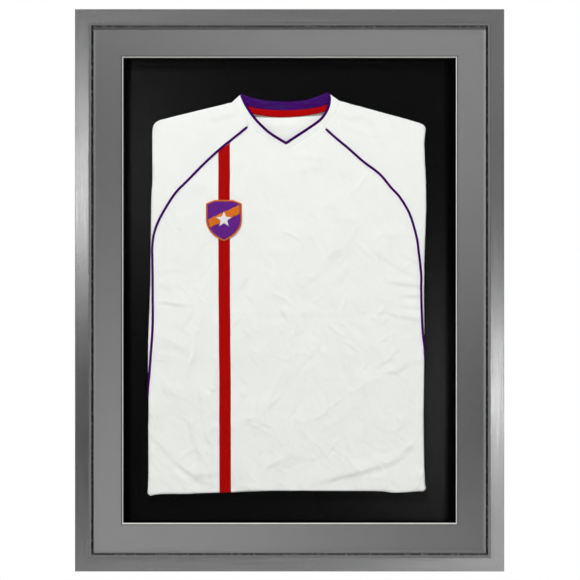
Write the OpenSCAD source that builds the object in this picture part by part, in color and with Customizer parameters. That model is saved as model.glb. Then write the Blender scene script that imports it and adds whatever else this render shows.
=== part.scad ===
// Wall-hung display frame for a sports jersey: four mitred metal rails, glazing, a mount board with a
// bevelled window, spacers, a black inset board, the folded jersey, and a back board held by turn buttons.
// Origin: the centre of the wall plane that the rear bumpers touch. +Z is up, the glazing faces -Y, and +X
// is to the right of somebody who looks at the jersey. A piece's depth v is counted from the front face.

/* [Glazing] */
// Width of the glazing sheet
glass_w = 600; // [560:10:680]
// Height of the glazing sheet
glass_h = 800; // [760:10:900]
// Thickness of the glazing sheet
glass_t = 2; // [1.5:0.5:3]
// Play between a sheet's edge and the rebate around it
sheet_play = 0.2; // [0.1:0.1:0.5]

/* [Rails] */
// Width of a rail's box section, from the outside to the rebate
rail_w = 22.3; // [21.5:0.1:24]
// Width of the flat front face, up to the sloped band
face_w = 20.8; // [19:0.1:21]
// Distance from the outside to the edge of the lip that holds the glazing
lip_w = 24.1; // [23.5:0.1:26]
// Thickness of the lip
lip_t = 3.6; // [3:0.1:5]
// How far the sloped band falls towards the glazing
band_fall = 1.8; // [1:0.1:2.2]
// Wall thickness of the extrusion
wall_t = 1.6; // [1.2:0.1:1.8]
// Chamfer along the outer front edge
edge_chamfer = 0.6; // [0.3:0.1:1]

/* [Mount and boards] */
// Thickness of the rubber gasket between lip and glazing
gasket_t = 1; // [0.5:0.1:2]
// Width of gasket that shows inside the lip
gasket_show = 3.4; // [1:0.1:4]
// Thickness of the mount board
mount_t = 2; // [1.4:0.1:3]
// Width of the mount board, from its outer edge to its window
mount_cover = 50; // [40:1:55]
// Depth of the strips that space the inset board from the mount
spacer_t = 18; // [18:1:30]
// Width of the spacer strips
spacer_w = 12; // [8:1:30]
// Thickness of the black inset board
inset_t = 5; // [3:1:8]
// Thickness of the fibre back board
back_t = 3; // [2:0.5:4]

/* [Back fittings] */
// Distance between the turn buttons on a side rail
side_pitch = 270; // [250:5:290]
// Distance between the two turn buttons on the top or bottom rail
end_pitch = 300; // [200:5:380]
// Reach of a turn button's arm from its screw
button_reach = 19; // [17:0.5:24]
// Thickness of a turn button
button_t = 1.5; // [1:0.1:1.6]
// Thickness of the rubber wall bumpers
bumper_t = 5; // [5:0.5:8]
// Radius of the rubber wall bumpers
bumper_r = 6; // [4:0.5:8]
// Height of the hanger hinges above the frame's middle
hanger_z = 210; // [160:5:210]
// Radius of the round eye in a hanger ring
eye_r = 7; // [5:0.5:7]

/* [Jersey] */
// Half the width of the folded jersey
half_w = 206; // [200:1:215]
// Height of the hem
hem_z = -305; // [-320:1:-290]
// Height of the shoulder corners
shoulder_z = 250; // [245:1:255]
// How far the jersey lies to the left of the frame's middle
jersey_shift = 4; // [0:1:10]
// Thickness of a layer of cloth, seams included
cloth_t = 1.2; // [0.8:0.1:1.5]
// Width of the piping
piping_w = 3.2; // [2:0.1:5]
// Width of the vertical stripe
stripe_w = 17.5; // [10:0.5:25]
// Distance of the stripe's middle from the jersey's middle
stripe_x = 94.5; // [80:0.5:110]
// Width of the chest crest
crest_w = 52; // [40:1:56]
// Height of the chest crest
crest_h = 60; // [45:1:70]

/* [Hidden] */

$fn = 48;

// The frame's own size
rebate_u = rail_w + sheet_play;
outer_w = glass_w + 2 * rebate_u;
outer_h = glass_h + 2 * rebate_u;
window_w = glass_w - 2 * mount_cover;
window_h = glass_h - 2 * mount_cover;

// Depth of each layer behind the front face
layer_gap = 0.1;
v_gasket = lip_t;
v_glass = v_gasket + gasket_t;
v_mount = v_glass + glass_t + layer_gap;
v_spacer = v_mount + mount_t;
v_inset = v_spacer + spacer_t;
v_back = v_inset + inset_t + layer_gap;
rail_d = v_back + back_t + 2 * layer_gap;
depth = rail_d + bumper_t;

// Rail section: a front chamber, a web, and a rear channel that holds the corner brackets
channel_d = 5.2;
v_channel = rail_d - wall_t - channel_d;
rail_mid = rail_w / 2;
groove_w = 0.4;
groove_d = 0.6;
band_start = 0.25;
chamber_step = 0.4;

// Corner brackets and their set screws
bracket_t = 4;
bracket_arm = 72;
bracket_play = 0.3;
bracket_holes = [34, 58];
set_screw_r = 2.5;
set_screw_len = 6;
socket_r = 1.45;
socket_d = 2.5;
access_r = 2.9;
thread_play = 0.05;

// Pan-head screws of the back fittings
screw_r = 2;
screw_len = 6.2;
head_r = 3.8;
head_t = 1.9;
head_taper = 0.7;
head_taper_r = 2.8;
slot_w = 0.8;
slot_l = 4.2;
slot_d = 1;

// Turn buttons
side_buttons = 3;
button_gap = 0.1;
button_root_r = 5.5;
button_tip_r = 4.5;

// Swinging hangers
strap_w = 12;
strap_t = 1.2;
strap_len = 52;
strap_holes = [31, 44];
barrel_r = 2.2;
ring_bar_r = 1.1;
ring_t = 2;
ring_rim = 3.5;
ring_drop = 13.5;
ring_half = 9;
ring_notch = 3.4;
ring_play = 0.3;
v_hinge = rail_d + barrel_r + 0.2;

// Depth of each layer of the jersey
v_front = v_mount + 6.5;
v_former = v_front + cloth_t + 0.5;
former_t = 5;
v_body_back = v_former + former_t + 0.8;
v_fold = v_body_back + cloth_t + 0.3;
fold_t = v_inset - 0.3 - v_fold;
trim_t = 0.4;
patch_t = 0.6;
piping_t = 1.2;
cloth_gap = 0.3;
former_inset = 3;
rim_set = 0.2;

// Places on the jersey, as [across, up] from its own middle
shoulder_mid = [117, 275.5];
shoulder_end = [81, 284];
collar_tip = [67, 297];
neck_point_z = 222;
seam_point_z = 209;
raglan_share = 0.44;
raglan_knee = [203, 20];
seam_inset = 1.6;
side_seam_z = -110;
piping_start = 0.03;
piping_inset = 2;
stripe_top = [219.5, 205];
crest_at = [-95, 105];
star_r = 13;
star_waist = 0.4;
pin_places = [[150, 200], [150, -60], [150, -260]];

// Crest outline from the point up to the middle of the top, in shares of its half width and half height
crest_side = [[0, -1], [0.45, -0.72], [1, -0.45], [1, 0.1]];
crest_shoulder = [[1, 0.86], [0.5, 1]];

// The folded sleeve: how far below the shoulder corner the fold starts, where it ends, and its
// other corners
fold_drop = 14;
fold_foot_z = 30;
fold_corners = [[-118, -70], [-28, 30], [-105, 255], [-180, 250]];

// ---- Points and curves ----

// Points of a cubic curve between the shares t0 and t1 of its length
function curve(c, t0 = 0, t1 = 1, n = 12) = [
    for (i = [0:n])
        let (t = t0 + (t1 - t0) * i / n, s = 1 - t)
            c[0] * s * s * s + 3 * c[1] * t * s * s + 3 * c[2] * t * t * s + c[3] * t * t * t
];

function arc(centre, r, a0, a1, n = 5) = [
    for (i = [0:n])
        let (a = a0 + (a1 - a0) * i / n)
            centre + r * [cos(a), sin(a)]
];

function flipped(points) = [for (i = [len(points) - 1:-1:0]) [-points[i][0], points[i][1]]];

function both_sides(points) = concat(points, flipped(points));

function reversed(points) = [for (i = [len(points) - 1:-1:0]) points[i]];

// A line without its first point, which the line before it already has
function rest_of(points) = [for (i = [1:len(points) - 1]) points[i]];

// Direction of a line of points at its i-th point
function heading(p, i) =
    let (d = p[min(i + 1, len(p) - 1)] - p[max(i - 1, 0)])
        d / norm(d);

// A line of points widened to a ribbon
function ribbon(p, w) = concat(
    [for (i = [0:len(p) - 1]) let (d = heading(p, i)) p[i] + w / 2 * [-d[1], d[0]]],
    [for (i = [len(p) - 1:-1:0]) let (d = heading(p, i)) p[i] - w / 2 * [-d[1], d[0]]]
);

// ---- Placing ----

// A flat shape in the plane of the frame, as a plate from depth v0 to depth v1
module plate(v0, v1) {
    translate([0, v1 - depth, 0])
        rotate([90, 0, 0])
            linear_extrude(v1 - v0)
                children();
}

// The same for the jersey, which lies a little to the left
module jersey_plate(v0, v1) {
    translate([-jersey_shift, 0, 0])
        plate(v0, v1)
            children();
}

// Something drawn for the bottom side, with X along the side and Z inwards, on any of the four sides
module on_side(side) {
    turn = side == "bottom" ? 0 : side == "left" ? 90 : side == "top" ? 180 : 270;
    reach = side == "bottom" || side == "top" ? outer_h / 2 : outer_w / 2;
    rotate([0, turn, 0])
        translate([0, -depth, -reach])
            children();
}

function side_length(side) = side == "bottom" || side == "top" ? outer_w : outer_h;

// A straight bar along one side with mitred ends; section is in [v, u] points
module mitred_bar(side, u_end) {
    length = side_length(side);
    on_side(side)
        intersection() {
            rotate([90, 0, 90])
                linear_extrude(length, center = true)
                    children();
            translate([0, rail_d, 0])
                rotate([90, 0, 0])
                    linear_extrude(rail_d)
                        polygon([
                            [-length / 2, 0],
                            [length / 2, 0],
                            [length / 2 - u_end, u_end],
                            [-length / 2 + u_end, u_end]
                        ]);
        }
}

// A round hole or pin across the frame at a place on the bottom side, from depth v0 to v1
module bored(along, u, r, v0, v1) {
    translate([along, v0, u])
        rotate([-90, 0, 0])
            cylinder(r = r, h = v1 - v0);
}

// ---- Rails ----

module rail_section() {
    difference() {
        polygon([
            [edge_chamfer, 0],
            [0, edge_chamfer],
            [0, face_w - groove_w],
            [groove_d, face_w],
            [band_start, face_w + groove_w],
            [band_fall, lip_w],
            [lip_t, lip_w],
            [lip_t, rail_w],
            [rail_d, rail_w],
            [rail_d, 0]
        ]);
        translate([wall_t + chamber_step, wall_t])
            square([v_channel - 2 * wall_t - chamber_step, rail_w - 2 * wall_t]);
        translate([v_channel, wall_t])
            square([channel_d, rail_w - 2 * wall_t]);
    }
}

// Places of the turn buttons along a side, in the bottom side's own X
function button_places(side) =
    side == "left" || side == "right"
        ? [for (i = [0:side_buttons - 1]) (i - (side_buttons - 1) / 2) * side_pitch]
        : [-end_pitch / 2, end_pitch / 2];

// The hanger is at the upper end of a side rail, and X there runs down on the left and up on the right
function hanger_along(side) = side == "left" ? -hanger_z : hanger_z;
function down_along(side) = side == "left" ? 1 : -1;

module rail(side) {
    length = side_length(side);
    difference() {
        mitred_bar(side, lip_w)
            rail_section();
        on_side(side) {
            for (end = [-1, 1], away = bracket_holes)
                bored(end * (length / 2 - away), rail_mid, access_r, v_channel + channel_d - 1, rail_d + 1);
            for (along = button_places(side))
                bored(along, rail_mid, screw_r + thread_play, v_channel + channel_d - 1, rail_d + 1);
            if (side == "left" || side == "right")
                for (drop = strap_holes)
                    bored(hanger_along(side) + down_along(side) * drop, rail_mid,
                          screw_r + thread_play, v_channel + channel_d - 1, rail_d + 1);
        }
    }
}

module rail_top() color([0.55, 0.55, 0.56]) rail("top");
module rail_bottom() color([0.55, 0.55, 0.56]) rail("bottom");
module rail_left() color([0.6, 0.6, 0.61]) rail("left");
module rail_right() color([0.6, 0.6, 0.61]) rail("right");

// ---- Corner joints ----

// Something drawn for the bottom left corner, with X and Z along the two rails
module at_corner(turn) {
    half = turn % 180 == 0 ? [outer_w / 2, outer_h / 2] : [outer_h / 2, outer_w / 2];
    rotate([0, turn, 0])
        translate([-half[0], -depth, -half[1]])
            children();
}

module corner_bracket(turn) {
    width = rail_w - 2 * wall_t - 2 * bracket_play;
    start = wall_t + bracket_play;
    v_bracket = v_channel + channel_d - bracket_t;
    color([0.72, 0.73, 0.75])
        at_corner(turn)
            difference() {
                translate([0, v_bracket + bracket_t, 0])
                    rotate([90, 0, 0])
                        linear_extrude(bracket_t)
                            polygon([
                                [start, start],
                                [bracket_arm, start],
                                [bracket_arm, start + width],
                                [start + width, start + width],
                                [start + width, bracket_arm],
                                [start, bracket_arm]
                            ]);
                for (away = bracket_holes) {
                    bored(away, rail_mid, set_screw_r + thread_play,
                          v_bracket - 1, v_bracket + bracket_t + 1);
                    bored(rail_mid, away, set_screw_r + thread_play,
                          v_bracket - 1, v_bracket + bracket_t + 1);
                }
            }
}

module corner_bracket_bottom_left() corner_bracket(0);
module corner_bracket_top_left() corner_bracket(90);
module corner_bracket_top_right() corner_bracket(180);
module corner_bracket_bottom_right() corner_bracket(270);

module set_screw(along, u) {
    v_end = v_channel + set_screw_len;
    difference() {
        bored(along, u, set_screw_r, v_channel, v_end);
        translate([along, v_end - socket_d, u])
            rotate([-90, 0, 0])
                cylinder(r = socket_r, h = socket_d + 1, $fn = 6);
    }
}

module corner_set_screws() {
    color([0.25, 0.25, 0.27])
        for (turn = [0, 90, 180, 270])
            at_corner(turn)
                for (away = bracket_holes) {
                    set_screw(away, rail_mid);
                    set_screw(rail_mid, away);
                }
}

// ---- Gasket, glazing, mount board, spacers and boards ----

module gasket(side) {
    color([0.05, 0.05, 0.05])
        mitred_bar(side, lip_w + gasket_show)
            translate([v_gasket, rebate_u])
                square([gasket_t, lip_w + gasket_show - rebate_u]);
}

module gasket_top() gasket("top");
module gasket_bottom() gasket("bottom");
module gasket_left() gasket("left");
module gasket_right() gasket("right");

module sheet(v0, thickness) {
    plate(v0, v0 + thickness)
        square([glass_w, glass_h], center = true);
}

module glazing_sheet() {
    color([0.8, 0.86, 0.86, 0.25])
        sheet(v_glass, glass_t);
}

// A wedge-sided cutter for the bevelled window: wide at the front, its stated size at the back
module window_wedge(size, length) {
    over = 1;
    front = size / 2 + mount_t + over;
    back = size / 2 - over;
    linear_extrude(length, center = true)
        polygon([
            [-front, v_mount - over - depth],
            [front, v_mount - over - depth],
            [back, v_mount + mount_t + over - depth],
            [-back, v_mount + mount_t + over - depth]
        ]);
}

module mount_board() {
    color([0.42, 0.42, 0.43])
        difference() {
            sheet(v_mount, mount_t);
            intersection() {
                window_wedge(window_w, glass_h);
                rotate([0, 90, 0])
                    window_wedge(window_h, glass_w);
            }
        }
}

module spacer(side) {
    on_end = side == "top" || side == "bottom";
    length = on_end ? glass_w : glass_h - 2 * spacer_w - 2 * layer_gap;
    color([0.06, 0.06, 0.06])
        on_side(side)
            translate([-length / 2, v_spacer, rebate_u])
                cube([length, spacer_t, spacer_w]);
}

module spacer_top() spacer("top");
module spacer_bottom() spacer("bottom");
module spacer_left() spacer("left");
module spacer_right() spacer("right");

module inset_board() {
    color([0.07, 0.07, 0.075])
        sheet(v_inset, inset_t);
}

module back_board() {
    color([0.5, 0.36, 0.24])
        sheet(v_back, back_t);
}

// ---- Turn buttons and their screws ----

module pan_screw(along, u, v_seat) {
    v_taper = v_seat + head_t - head_taper;
    difference() {
        union() {
            bored(along, u, screw_r, rail_d - screw_len, v_taper);
            bored(along, u, head_r, v_seat, v_taper);
            translate([along, v_taper, u])
                rotate([-90, 0, 0])
                    cylinder(r1 = head_r, r2 = head_taper_r, h = head_taper);
        }
        for (turn = [45, 135])
            translate([along, v_seat + head_t, u])
                rotate([0, turn, 0])
                    cube([slot_l, 2 * slot_d, slot_w], center = true);
    }
}

module turn_button(side, along) {
    v_button = rail_d + button_gap;
    color([0.75, 0.75, 0.72])
        on_side(side)
            translate([along, 0, rail_mid])
                difference() {
                    translate([0, v_button + button_t, 0])
                        rotate([90, 0, 0])
                            linear_extrude(button_t) {
                                circle(r = button_root_r);
                                translate([-button_tip_r, 0])
                                    square([2 * button_tip_r, button_reach - button_tip_r]);
                                translate([0, button_reach - button_tip_r])
                                    circle(r = button_tip_r);
                            }
                    bored(0, 0, screw_r + thread_play, v_button - 1, v_button + button_t + 1);
                }
}

module turn_button_1() turn_button("left", button_places("left")[0]);
module turn_button_2() turn_button("left", button_places("left")[1]);
module turn_button_3() turn_button("left", button_places("left")[2]);
module turn_button_4() turn_button("right", button_places("right")[0]);
module turn_button_5() turn_button("right", button_places("right")[1]);
module turn_button_6() turn_button("right", button_places("right")[2]);
module turn_button_7() turn_button("top", button_places("top")[0]);
module turn_button_8() turn_button("top", button_places("top")[1]);
module turn_button_9() turn_button("bottom", button_places("bottom")[0]);
module turn_button_10() turn_button("bottom", button_places("bottom")[1]);

module turn_button_screws() {
    color([0.75, 0.75, 0.72])
        for (side = ["left", "right", "top", "bottom"])
            on_side(side)
                for (along = button_places(side))
                    pan_screw(along, rail_mid, rail_d + 2 * button_gap + button_t);
}

// ---- Hangers ----

// Moves to a hanger's hinge axis, seen upright, on the left or right rail
module at_hanger(side) {
    x = (side == "left" ? -1 : 1) * (outer_w / 2 - rail_mid);
    translate([x, v_hinge - depth, hanger_z])
        children();
}

module hanger_strap(side) {
    back_y = rail_d - v_hinge;
    color([0.78, 0.76, 0.7])
        at_hanger(side)
            difference() {
                union() {
                    rotate([0, 90, 0])
                        cylinder(r = barrel_r, h = strap_w, center = true);
                    translate([-strap_w / 2, back_y, -strap_len])
                        cube([strap_w, strap_t, strap_len]);
                }
                rotate([0, 90, 0])
                    cylinder(r = ring_bar_r + thread_play, h = strap_w + 1, center = true);
                for (drop = strap_holes)
                    bored(0, -drop, screw_r + thread_play, back_y - 1, back_y + strap_t + 1);
            }
}

module hanger_strap_left() hanger_strap("left");
module hanger_strap_right() hanger_strap("right");

// A flat ring that hangs from a bar in the strap's rolled end
module hanger_ring(side) {
    color([0.78, 0.76, 0.7])
        at_hanger(side) {
            difference() {
                translate([0, ring_t / 2, 0])
                    rotate([90, 0, 0])
                        linear_extrude(ring_t)
                            difference() {
                                union() {
                                    translate([0, -ring_drop])
                                        circle(r = eye_r + ring_rim);
                                    translate([-ring_half, -ring_drop])
                                        square([2 * ring_half, ring_drop + ring_bar_r]);
                                }
                                translate([-strap_w / 2 - ring_play, -ring_notch])
                                    square([strap_w + 2 * ring_play, ring_notch + 2 * ring_bar_r]);
                            }
                bored(0, -ring_drop, eye_r, -ring_t, ring_t);
            }
            rotate([0, 90, 0])
                cylinder(r = ring_bar_r, h = 2 * ring_half, center = true);
        }
}

module hanger_ring_left() hanger_ring("left");
module hanger_ring_right() hanger_ring("right");

module hanger_screws() {
    color([0.75, 0.75, 0.72])
        for (side = ["left", "right"])
            on_side(side)
                for (drop = strap_holes)
                    pan_screw(hanger_along(side) + down_along(side) * drop, rail_mid, rail_d + strap_t);
}

module wall_bumpers() {
    rim = 0.8;
    color([0.12, 0.12, 0.12])
        for (turn = [0, 90, 180, 270])
            at_corner(turn) {
                bored(rail_mid, rail_mid, bumper_r, rail_d, depth - rim);
                translate([rail_mid, depth - rim, rail_mid])
                    rotate([-90, 0, 0])
                        cylinder(r1 = bumper_r, r2 = bumper_r - rim, h = rim);
            }
}

// ---- Jersey outlines, in the jersey's own [across, up] ----

hem_corner_r = 5;
shoulder_corner_r = 9;

// Right edge of the jersey from the hem up to the collar, drawn in by d
function side_edge(d) = concat(
    arc([half_w - hem_corner_r, hem_z + hem_corner_r], hem_corner_r - d, -90, 0),
    arc([half_w - shoulder_corner_r, shoulder_z - shoulder_corner_r], shoulder_corner_r - d, 0, 76),
    [shoulder_mid - [d, d], shoulder_end - [d, d]]
);

// Seam between the collar band and the body, from the shoulder down to the point of the V
function neck_seam(gap) = [
    shoulder_end + [gap, 0],
    [72 + gap, 255 - gap],
    [44 + gap, 230 - gap],
    [0, seam_point_z - gap]
];

// Inner edge of the collar band, which carries the piping
neck_edge = [collar_tip, [60, 266], [36, 243], [0, neck_point_z]];

// Share of the neck seam at which a raglan seam starts; the sleeve's starts a little higher than the body's
function seam_share(gap) = raglan_share - gap / 40;

// Raglan seam from the collar to the side, where it meets the side seam
function raglan(gap) = [
    curve(neck_seam(cloth_gap), seam_share(gap), 1, 1)[0],
    [124 + gap, 185 + gap],
    [200 + gap, 150],
    raglan_knee
];

// Raglan and side seam as one line
function raglan_line(gap) = concat(curve(raglan(gap)), [[half_w - seam_inset + gap, side_seam_z]]);

// Edges of the band at the back of the neck
back_top = [[66, 296.5], [44, 287], [18, 285.3], [0, 285.3]];
back_low = [[59, 279], [40, 273.5], [18, 272.3], [0, 272.3]];
tape_low = [[53, 268], [36, 263.5], [18, 262], [0, 262]];

module silhouette(d) {
    polygon(both_sides(side_edge(d)));
}

// The cloth turned back around the former, just inside the outline
module rim_2d() {
    difference() {
        silhouette(rim_set);
        silhouette(cloth_t);
    }
}

module band_2d(outer, inner) {
    right = concat(curve(inner), reversed(curve(outer)));
    polygon(right);
    polygon(flipped(right));
}

// ---- Jersey and what holds it ----

module shirt_former() {
    neck_cut_r = 85;
    color([0.93, 0.93, 0.9])
        jersey_plate(v_former, v_former + former_t)
            difference() {
                silhouette(former_inset);
                translate([0, 275])
                    circle(r = neck_cut_r);
            }
}

module mounting_pins() {
    pin_r = 0.6;
    pin_head_r = 3.5;
    color([0.8, 0.8, 0.8])
        translate([-jersey_shift, -depth, 0])
            for (side = [-1, 1], place = pin_places)
                translate([side * place[0], 0, place[1]]) {
                    bored(0, 0, pin_head_r, v_former - 0.4, v_former);
                    bored(0, 0, pin_r, v_former - 0.2, v_inset + inset_t - 1);
                }
}

module jersey_front() {
    color([0.93, 0.93, 0.92]) {
        jersey_plate(v_front, v_front + cloth_t)
            polygon(both_sides(concat(
                arc([half_w - hem_corner_r, hem_z + hem_corner_r], hem_corner_r, -90, 0),
                [[half_w, side_seam_z - cloth_gap]],
                reversed(raglan_line(0)),
                rest_of(curve(neck_seam(cloth_gap), seam_share(0), 1))
            )));
        jersey_plate(v_front + cloth_t / 2, v_body_back - cloth_gap)
            intersection() {
                rim_2d();
                translate([-half_w - 1, hem_z - 1])
                    square([2 * half_w + 2, side_seam_z - cloth_gap - hem_z]);
            }
    }
}

module jersey_back() {
    color([0.93, 0.93, 0.92])
        jersey_plate(v_body_back, v_body_back + cloth_t)
            polygon(both_sides(concat(
                side_edge(cloth_t + cloth_gap),
                curve([for (p = back_low) p - [0, cloth_gap]])
            )));
}

// The top of the sleeve shows beside the raglan seam; the rest is folded flat behind the body
module jersey_sleeve(side) {
    color([0.93, 0.93, 0.92])
        mirror([side == "left" ? 0 : 1, 0, 0])
            translate([side == "left" ? 0 : 2 * jersey_shift, 0, 0]) {
                jersey_plate(v_front, v_front + cloth_t)
                    polygon(flipped(concat(
                        [[half_w, side_seam_z + cloth_gap]],
                        arc([half_w - shoulder_corner_r, shoulder_z - shoulder_corner_r],
                            shoulder_corner_r, 0, 76),
                        [shoulder_mid, shoulder_end + [cloth_gap, 0]],
                        rest_of(curve(neck_seam(cloth_gap), 0, seam_share(cloth_gap))),
                        rest_of(raglan_line(cloth_gap))
                    )));
                jersey_plate(v_front + cloth_t / 2, v_fold + cloth_t)
                    intersection() {
                        rim_2d();
                        translate([-half_w - 1, side_seam_z + cloth_gap])
                            square([3 * cloth_t, shoulder_z - fold_drop - side_seam_z]);
                    }
                jersey_plate(v_fold, v_fold + fold_t)
                    polygon(concat(
                        [
                            [-half_w + 2 * rim_set, shoulder_z - fold_drop],
                            [-half_w + 2 * rim_set, fold_foot_z]
                        ],
                        fold_corners
                    ));
            }
}

module jersey_sleeve_left() jersey_sleeve("left");
module jersey_sleeve_right() jersey_sleeve("right");

module collar_band_front() {
    color([0.93, 0.93, 0.92])
        jersey_plate(v_front - cloth_gap, v_front - cloth_gap + cloth_t)
            band_2d(neck_seam(0), neck_edge);
}

module collar_band_back() {
    color([0.28, 0.03, 0.42])
        jersey_plate(v_body_back - 0.8, v_body_back + 0.8)
            band_2d(back_top, back_low);
}

module neck_tape() {
    color([0.7, 0.03, 0.03])
        jersey_plate(v_body_back - cloth_gap - trim_t, v_body_back - cloth_gap)
            band_2d([for (p = back_low) p - [0, cloth_gap]], tape_low);
}

module neck_piping() {
    line = curve(neck_edge);
    color([0.28, 0.03, 0.42])
        jersey_plate(v_front - cloth_gap - piping_t, v_front - cloth_gap)
            polygon(ribbon(concat(line, flipped([for (i = [0:len(line) - 2]) line[i]])), piping_w));
}

module raglan_piping(line) {
    color([0.28, 0.03, 0.42])
        jersey_plate(v_front - piping_t, v_front)
            polygon(ribbon(line, piping_w));
}

// The piping starts clear of the collar band, and stops inside the edge of the side
function piping_line() = [
    for (p = concat(curve(raglan(0), piping_start, 1), [[half_w - piping_inset, side_seam_z]]))
        [min(p[0], half_w - piping_inset), p[1]]
];

module raglan_piping_left() raglan_piping(flipped(piping_line()));
module raglan_piping_right() raglan_piping(piping_line());

module chest_stripe() {
    inner = stripe_w / 2 - stripe_x;
    outer = -stripe_w / 2 - stripe_x;
    color([0.68, 0.02, 0.02])
        jersey_plate(v_front - trim_t, v_front)
            polygon([
                [outer, hem_z],
                [inner, hem_z],
                [inner, stripe_top[0]],
                [outer, stripe_top[1]]
            ]);
}

// Shield with a flat top and sides that curve to a point
module crest_2d() {
    polygon([
        for (p = both_sides(concat(curve(crest_side), crest_shoulder)))
            [p[0] * crest_w / 2, p[1] * crest_h / 2]
    ]);
}

module crest_patch() {
    color([0.3, 0.05, 0.45])
        jersey_plate(v_front - trim_t - patch_t, v_front - trim_t)
            translate(crest_at)
                crest_2d();
}

module crest_star() {
    points = 5;
    color([0.93, 0.93, 0.92])
        jersey_plate(v_front - trim_t - 2 * patch_t, v_front - trim_t - patch_t)
            translate(crest_at)
                polygon([
                    for (i = [0:2 * points - 1])
                        let (r = i % 2 == 0 ? star_r : star_r * star_waist, a = 90 + i * 180 / points)
                            r * [cos(a), sin(a)]
                ]);
}

rail_top();
rail_bottom();
rail_left();
rail_right();
corner_bracket_bottom_left();
corner_bracket_top_left();
corner_bracket_top_right();
corner_bracket_bottom_right();
corner_set_screws();
gasket_top();
gasket_bottom();
gasket_left();
gasket_right();
glazing_sheet();
mount_board();
spacer_top();
spacer_bottom();
spacer_left();
spacer_right();
inset_board();
back_board();
turn_button_1();
turn_button_2();
turn_button_3();
turn_button_4();
turn_button_5();
turn_button_6();
turn_button_7();
turn_button_8();
turn_button_9();
turn_button_10();
turn_button_screws();
hanger_strap_left();
hanger_strap_right();
hanger_ring_left();
hanger_ring_right();
hanger_screws();
wall_bumpers();
shirt_former();
mounting_pins();
jersey_front();
jersey_back();
jersey_sleeve_left();
jersey_sleeve_right();
collar_band_front();
collar_band_back();
neck_tape();
neck_piping();
raglan_piping_left();
raglan_piping_right();
chest_stripe();
crest_patch();
crest_star();
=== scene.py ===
import math
import random

import bpy
import numpy as np
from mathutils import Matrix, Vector, noise
from mathutils.geometry import delaunay_2d_cdt


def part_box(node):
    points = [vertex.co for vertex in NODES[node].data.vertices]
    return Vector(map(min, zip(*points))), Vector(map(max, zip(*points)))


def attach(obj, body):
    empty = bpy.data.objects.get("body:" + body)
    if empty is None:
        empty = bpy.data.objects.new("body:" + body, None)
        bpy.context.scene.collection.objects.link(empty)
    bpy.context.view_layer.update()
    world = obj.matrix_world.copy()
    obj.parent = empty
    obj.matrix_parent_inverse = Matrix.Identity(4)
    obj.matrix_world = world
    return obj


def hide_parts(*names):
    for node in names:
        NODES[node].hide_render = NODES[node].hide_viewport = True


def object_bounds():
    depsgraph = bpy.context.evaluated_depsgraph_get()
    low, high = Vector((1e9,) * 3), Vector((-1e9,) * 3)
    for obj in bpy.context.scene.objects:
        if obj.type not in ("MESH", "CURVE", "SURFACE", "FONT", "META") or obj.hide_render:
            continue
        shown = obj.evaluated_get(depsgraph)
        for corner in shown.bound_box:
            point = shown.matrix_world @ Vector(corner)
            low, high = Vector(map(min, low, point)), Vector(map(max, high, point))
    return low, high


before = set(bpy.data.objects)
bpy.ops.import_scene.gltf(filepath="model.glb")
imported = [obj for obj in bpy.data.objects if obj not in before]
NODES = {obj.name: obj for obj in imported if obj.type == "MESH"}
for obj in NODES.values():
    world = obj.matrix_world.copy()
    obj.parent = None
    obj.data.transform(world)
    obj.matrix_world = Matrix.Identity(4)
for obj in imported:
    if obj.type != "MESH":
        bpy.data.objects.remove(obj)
CAD_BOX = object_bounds()

MM = 0.001


# ---- Lines of points, in millimetres across and up, seen from the front ----

def resampled(points, step):
    """The same line with its points evenly spaced, about step apart."""
    p = np.asarray(points, float)
    run = np.r_[0, np.cumsum(np.hypot(*np.diff(p, axis=0).T))]
    at = np.linspace(0, run[-1], max(2, int(round(run[-1] / step)) + 1))
    return np.c_[np.interp(at, run, p[:, 0]), np.interp(at, run, p[:, 1])]


def spline(points, step=3.0):
    """A smooth line through the points, evenly resampled."""
    p = np.asarray(points, float)
    q = np.vstack([2 * p[0] - p[1], p, 2 * p[-1] - p[-2]])
    t = np.linspace(0, 1, 16, endpoint=False)[:, None]
    parts = []
    for i in range(len(p) - 1):
        a, b, c, d = q[i:i + 4]
        bend = (2 * a - 5 * b + 4 * c - d) * t ** 2
        parts.append(0.5 * (2 * b + (c - a) * t + bend + (3 * b - a - 3 * c + d) * t ** 3))
    return resampled(np.vstack(parts + [p[-1:]]), step)


def joined(*lines):
    """Lines put one after the other, without the points that repeat."""
    out = [lines[0]]
    for line in lines[1:]:
        out.append(line[1:] if np.allclose(line[0], out[-1][-1], atol=1e-6) else line)
    return np.vstack(out)


def nearest(points, line):
    """For each point: distance to the line, the closest point, share along, and side (+ is left)."""
    p = np.asarray(points, float)
    run = np.r_[0, np.cumsum(np.hypot(*np.diff(line, axis=0).T))]
    best = np.full(len(p), np.inf)
    close = np.zeros_like(p)
    share = np.zeros(len(p))
    side = np.ones(len(p))
    for i in range(len(line) - 1):
        a = line[i]
        ab = line[i + 1] - a
        length = math.hypot(*ab)
        ap = p - a
        t = np.clip(ap @ ab / length ** 2, 0, 1)
        q = a + t[:, None] * ab
        d = np.hypot(*(p - q).T)
        new = d < best - 1e-9
        best[new] = d[new]
        close[new] = q[new]
        share[new] = (run[i] + t[new] * length) / run[-1]
        side[new] = np.sign(ab[0] * ap[new, 1] - ab[1] * ap[new, 0])
    return best, close, share, side


def inside(points, polygon):
    """True for each point inside a closed polygon."""
    p = np.asarray(points, float)
    hit = np.zeros(len(p), bool)
    for a, b in zip(polygon, np.roll(polygon, -1, axis=0)):
        cross = (a[1] > p[:, 1]) != (b[1] > p[:, 1])
        if a[1] != b[1]:
            x = a[0] + (p[:, 1] - a[1]) * (b[0] - a[0]) / (b[1] - a[1])
            hit ^= cross & (p[:, 0] < x)
    return hit


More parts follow.
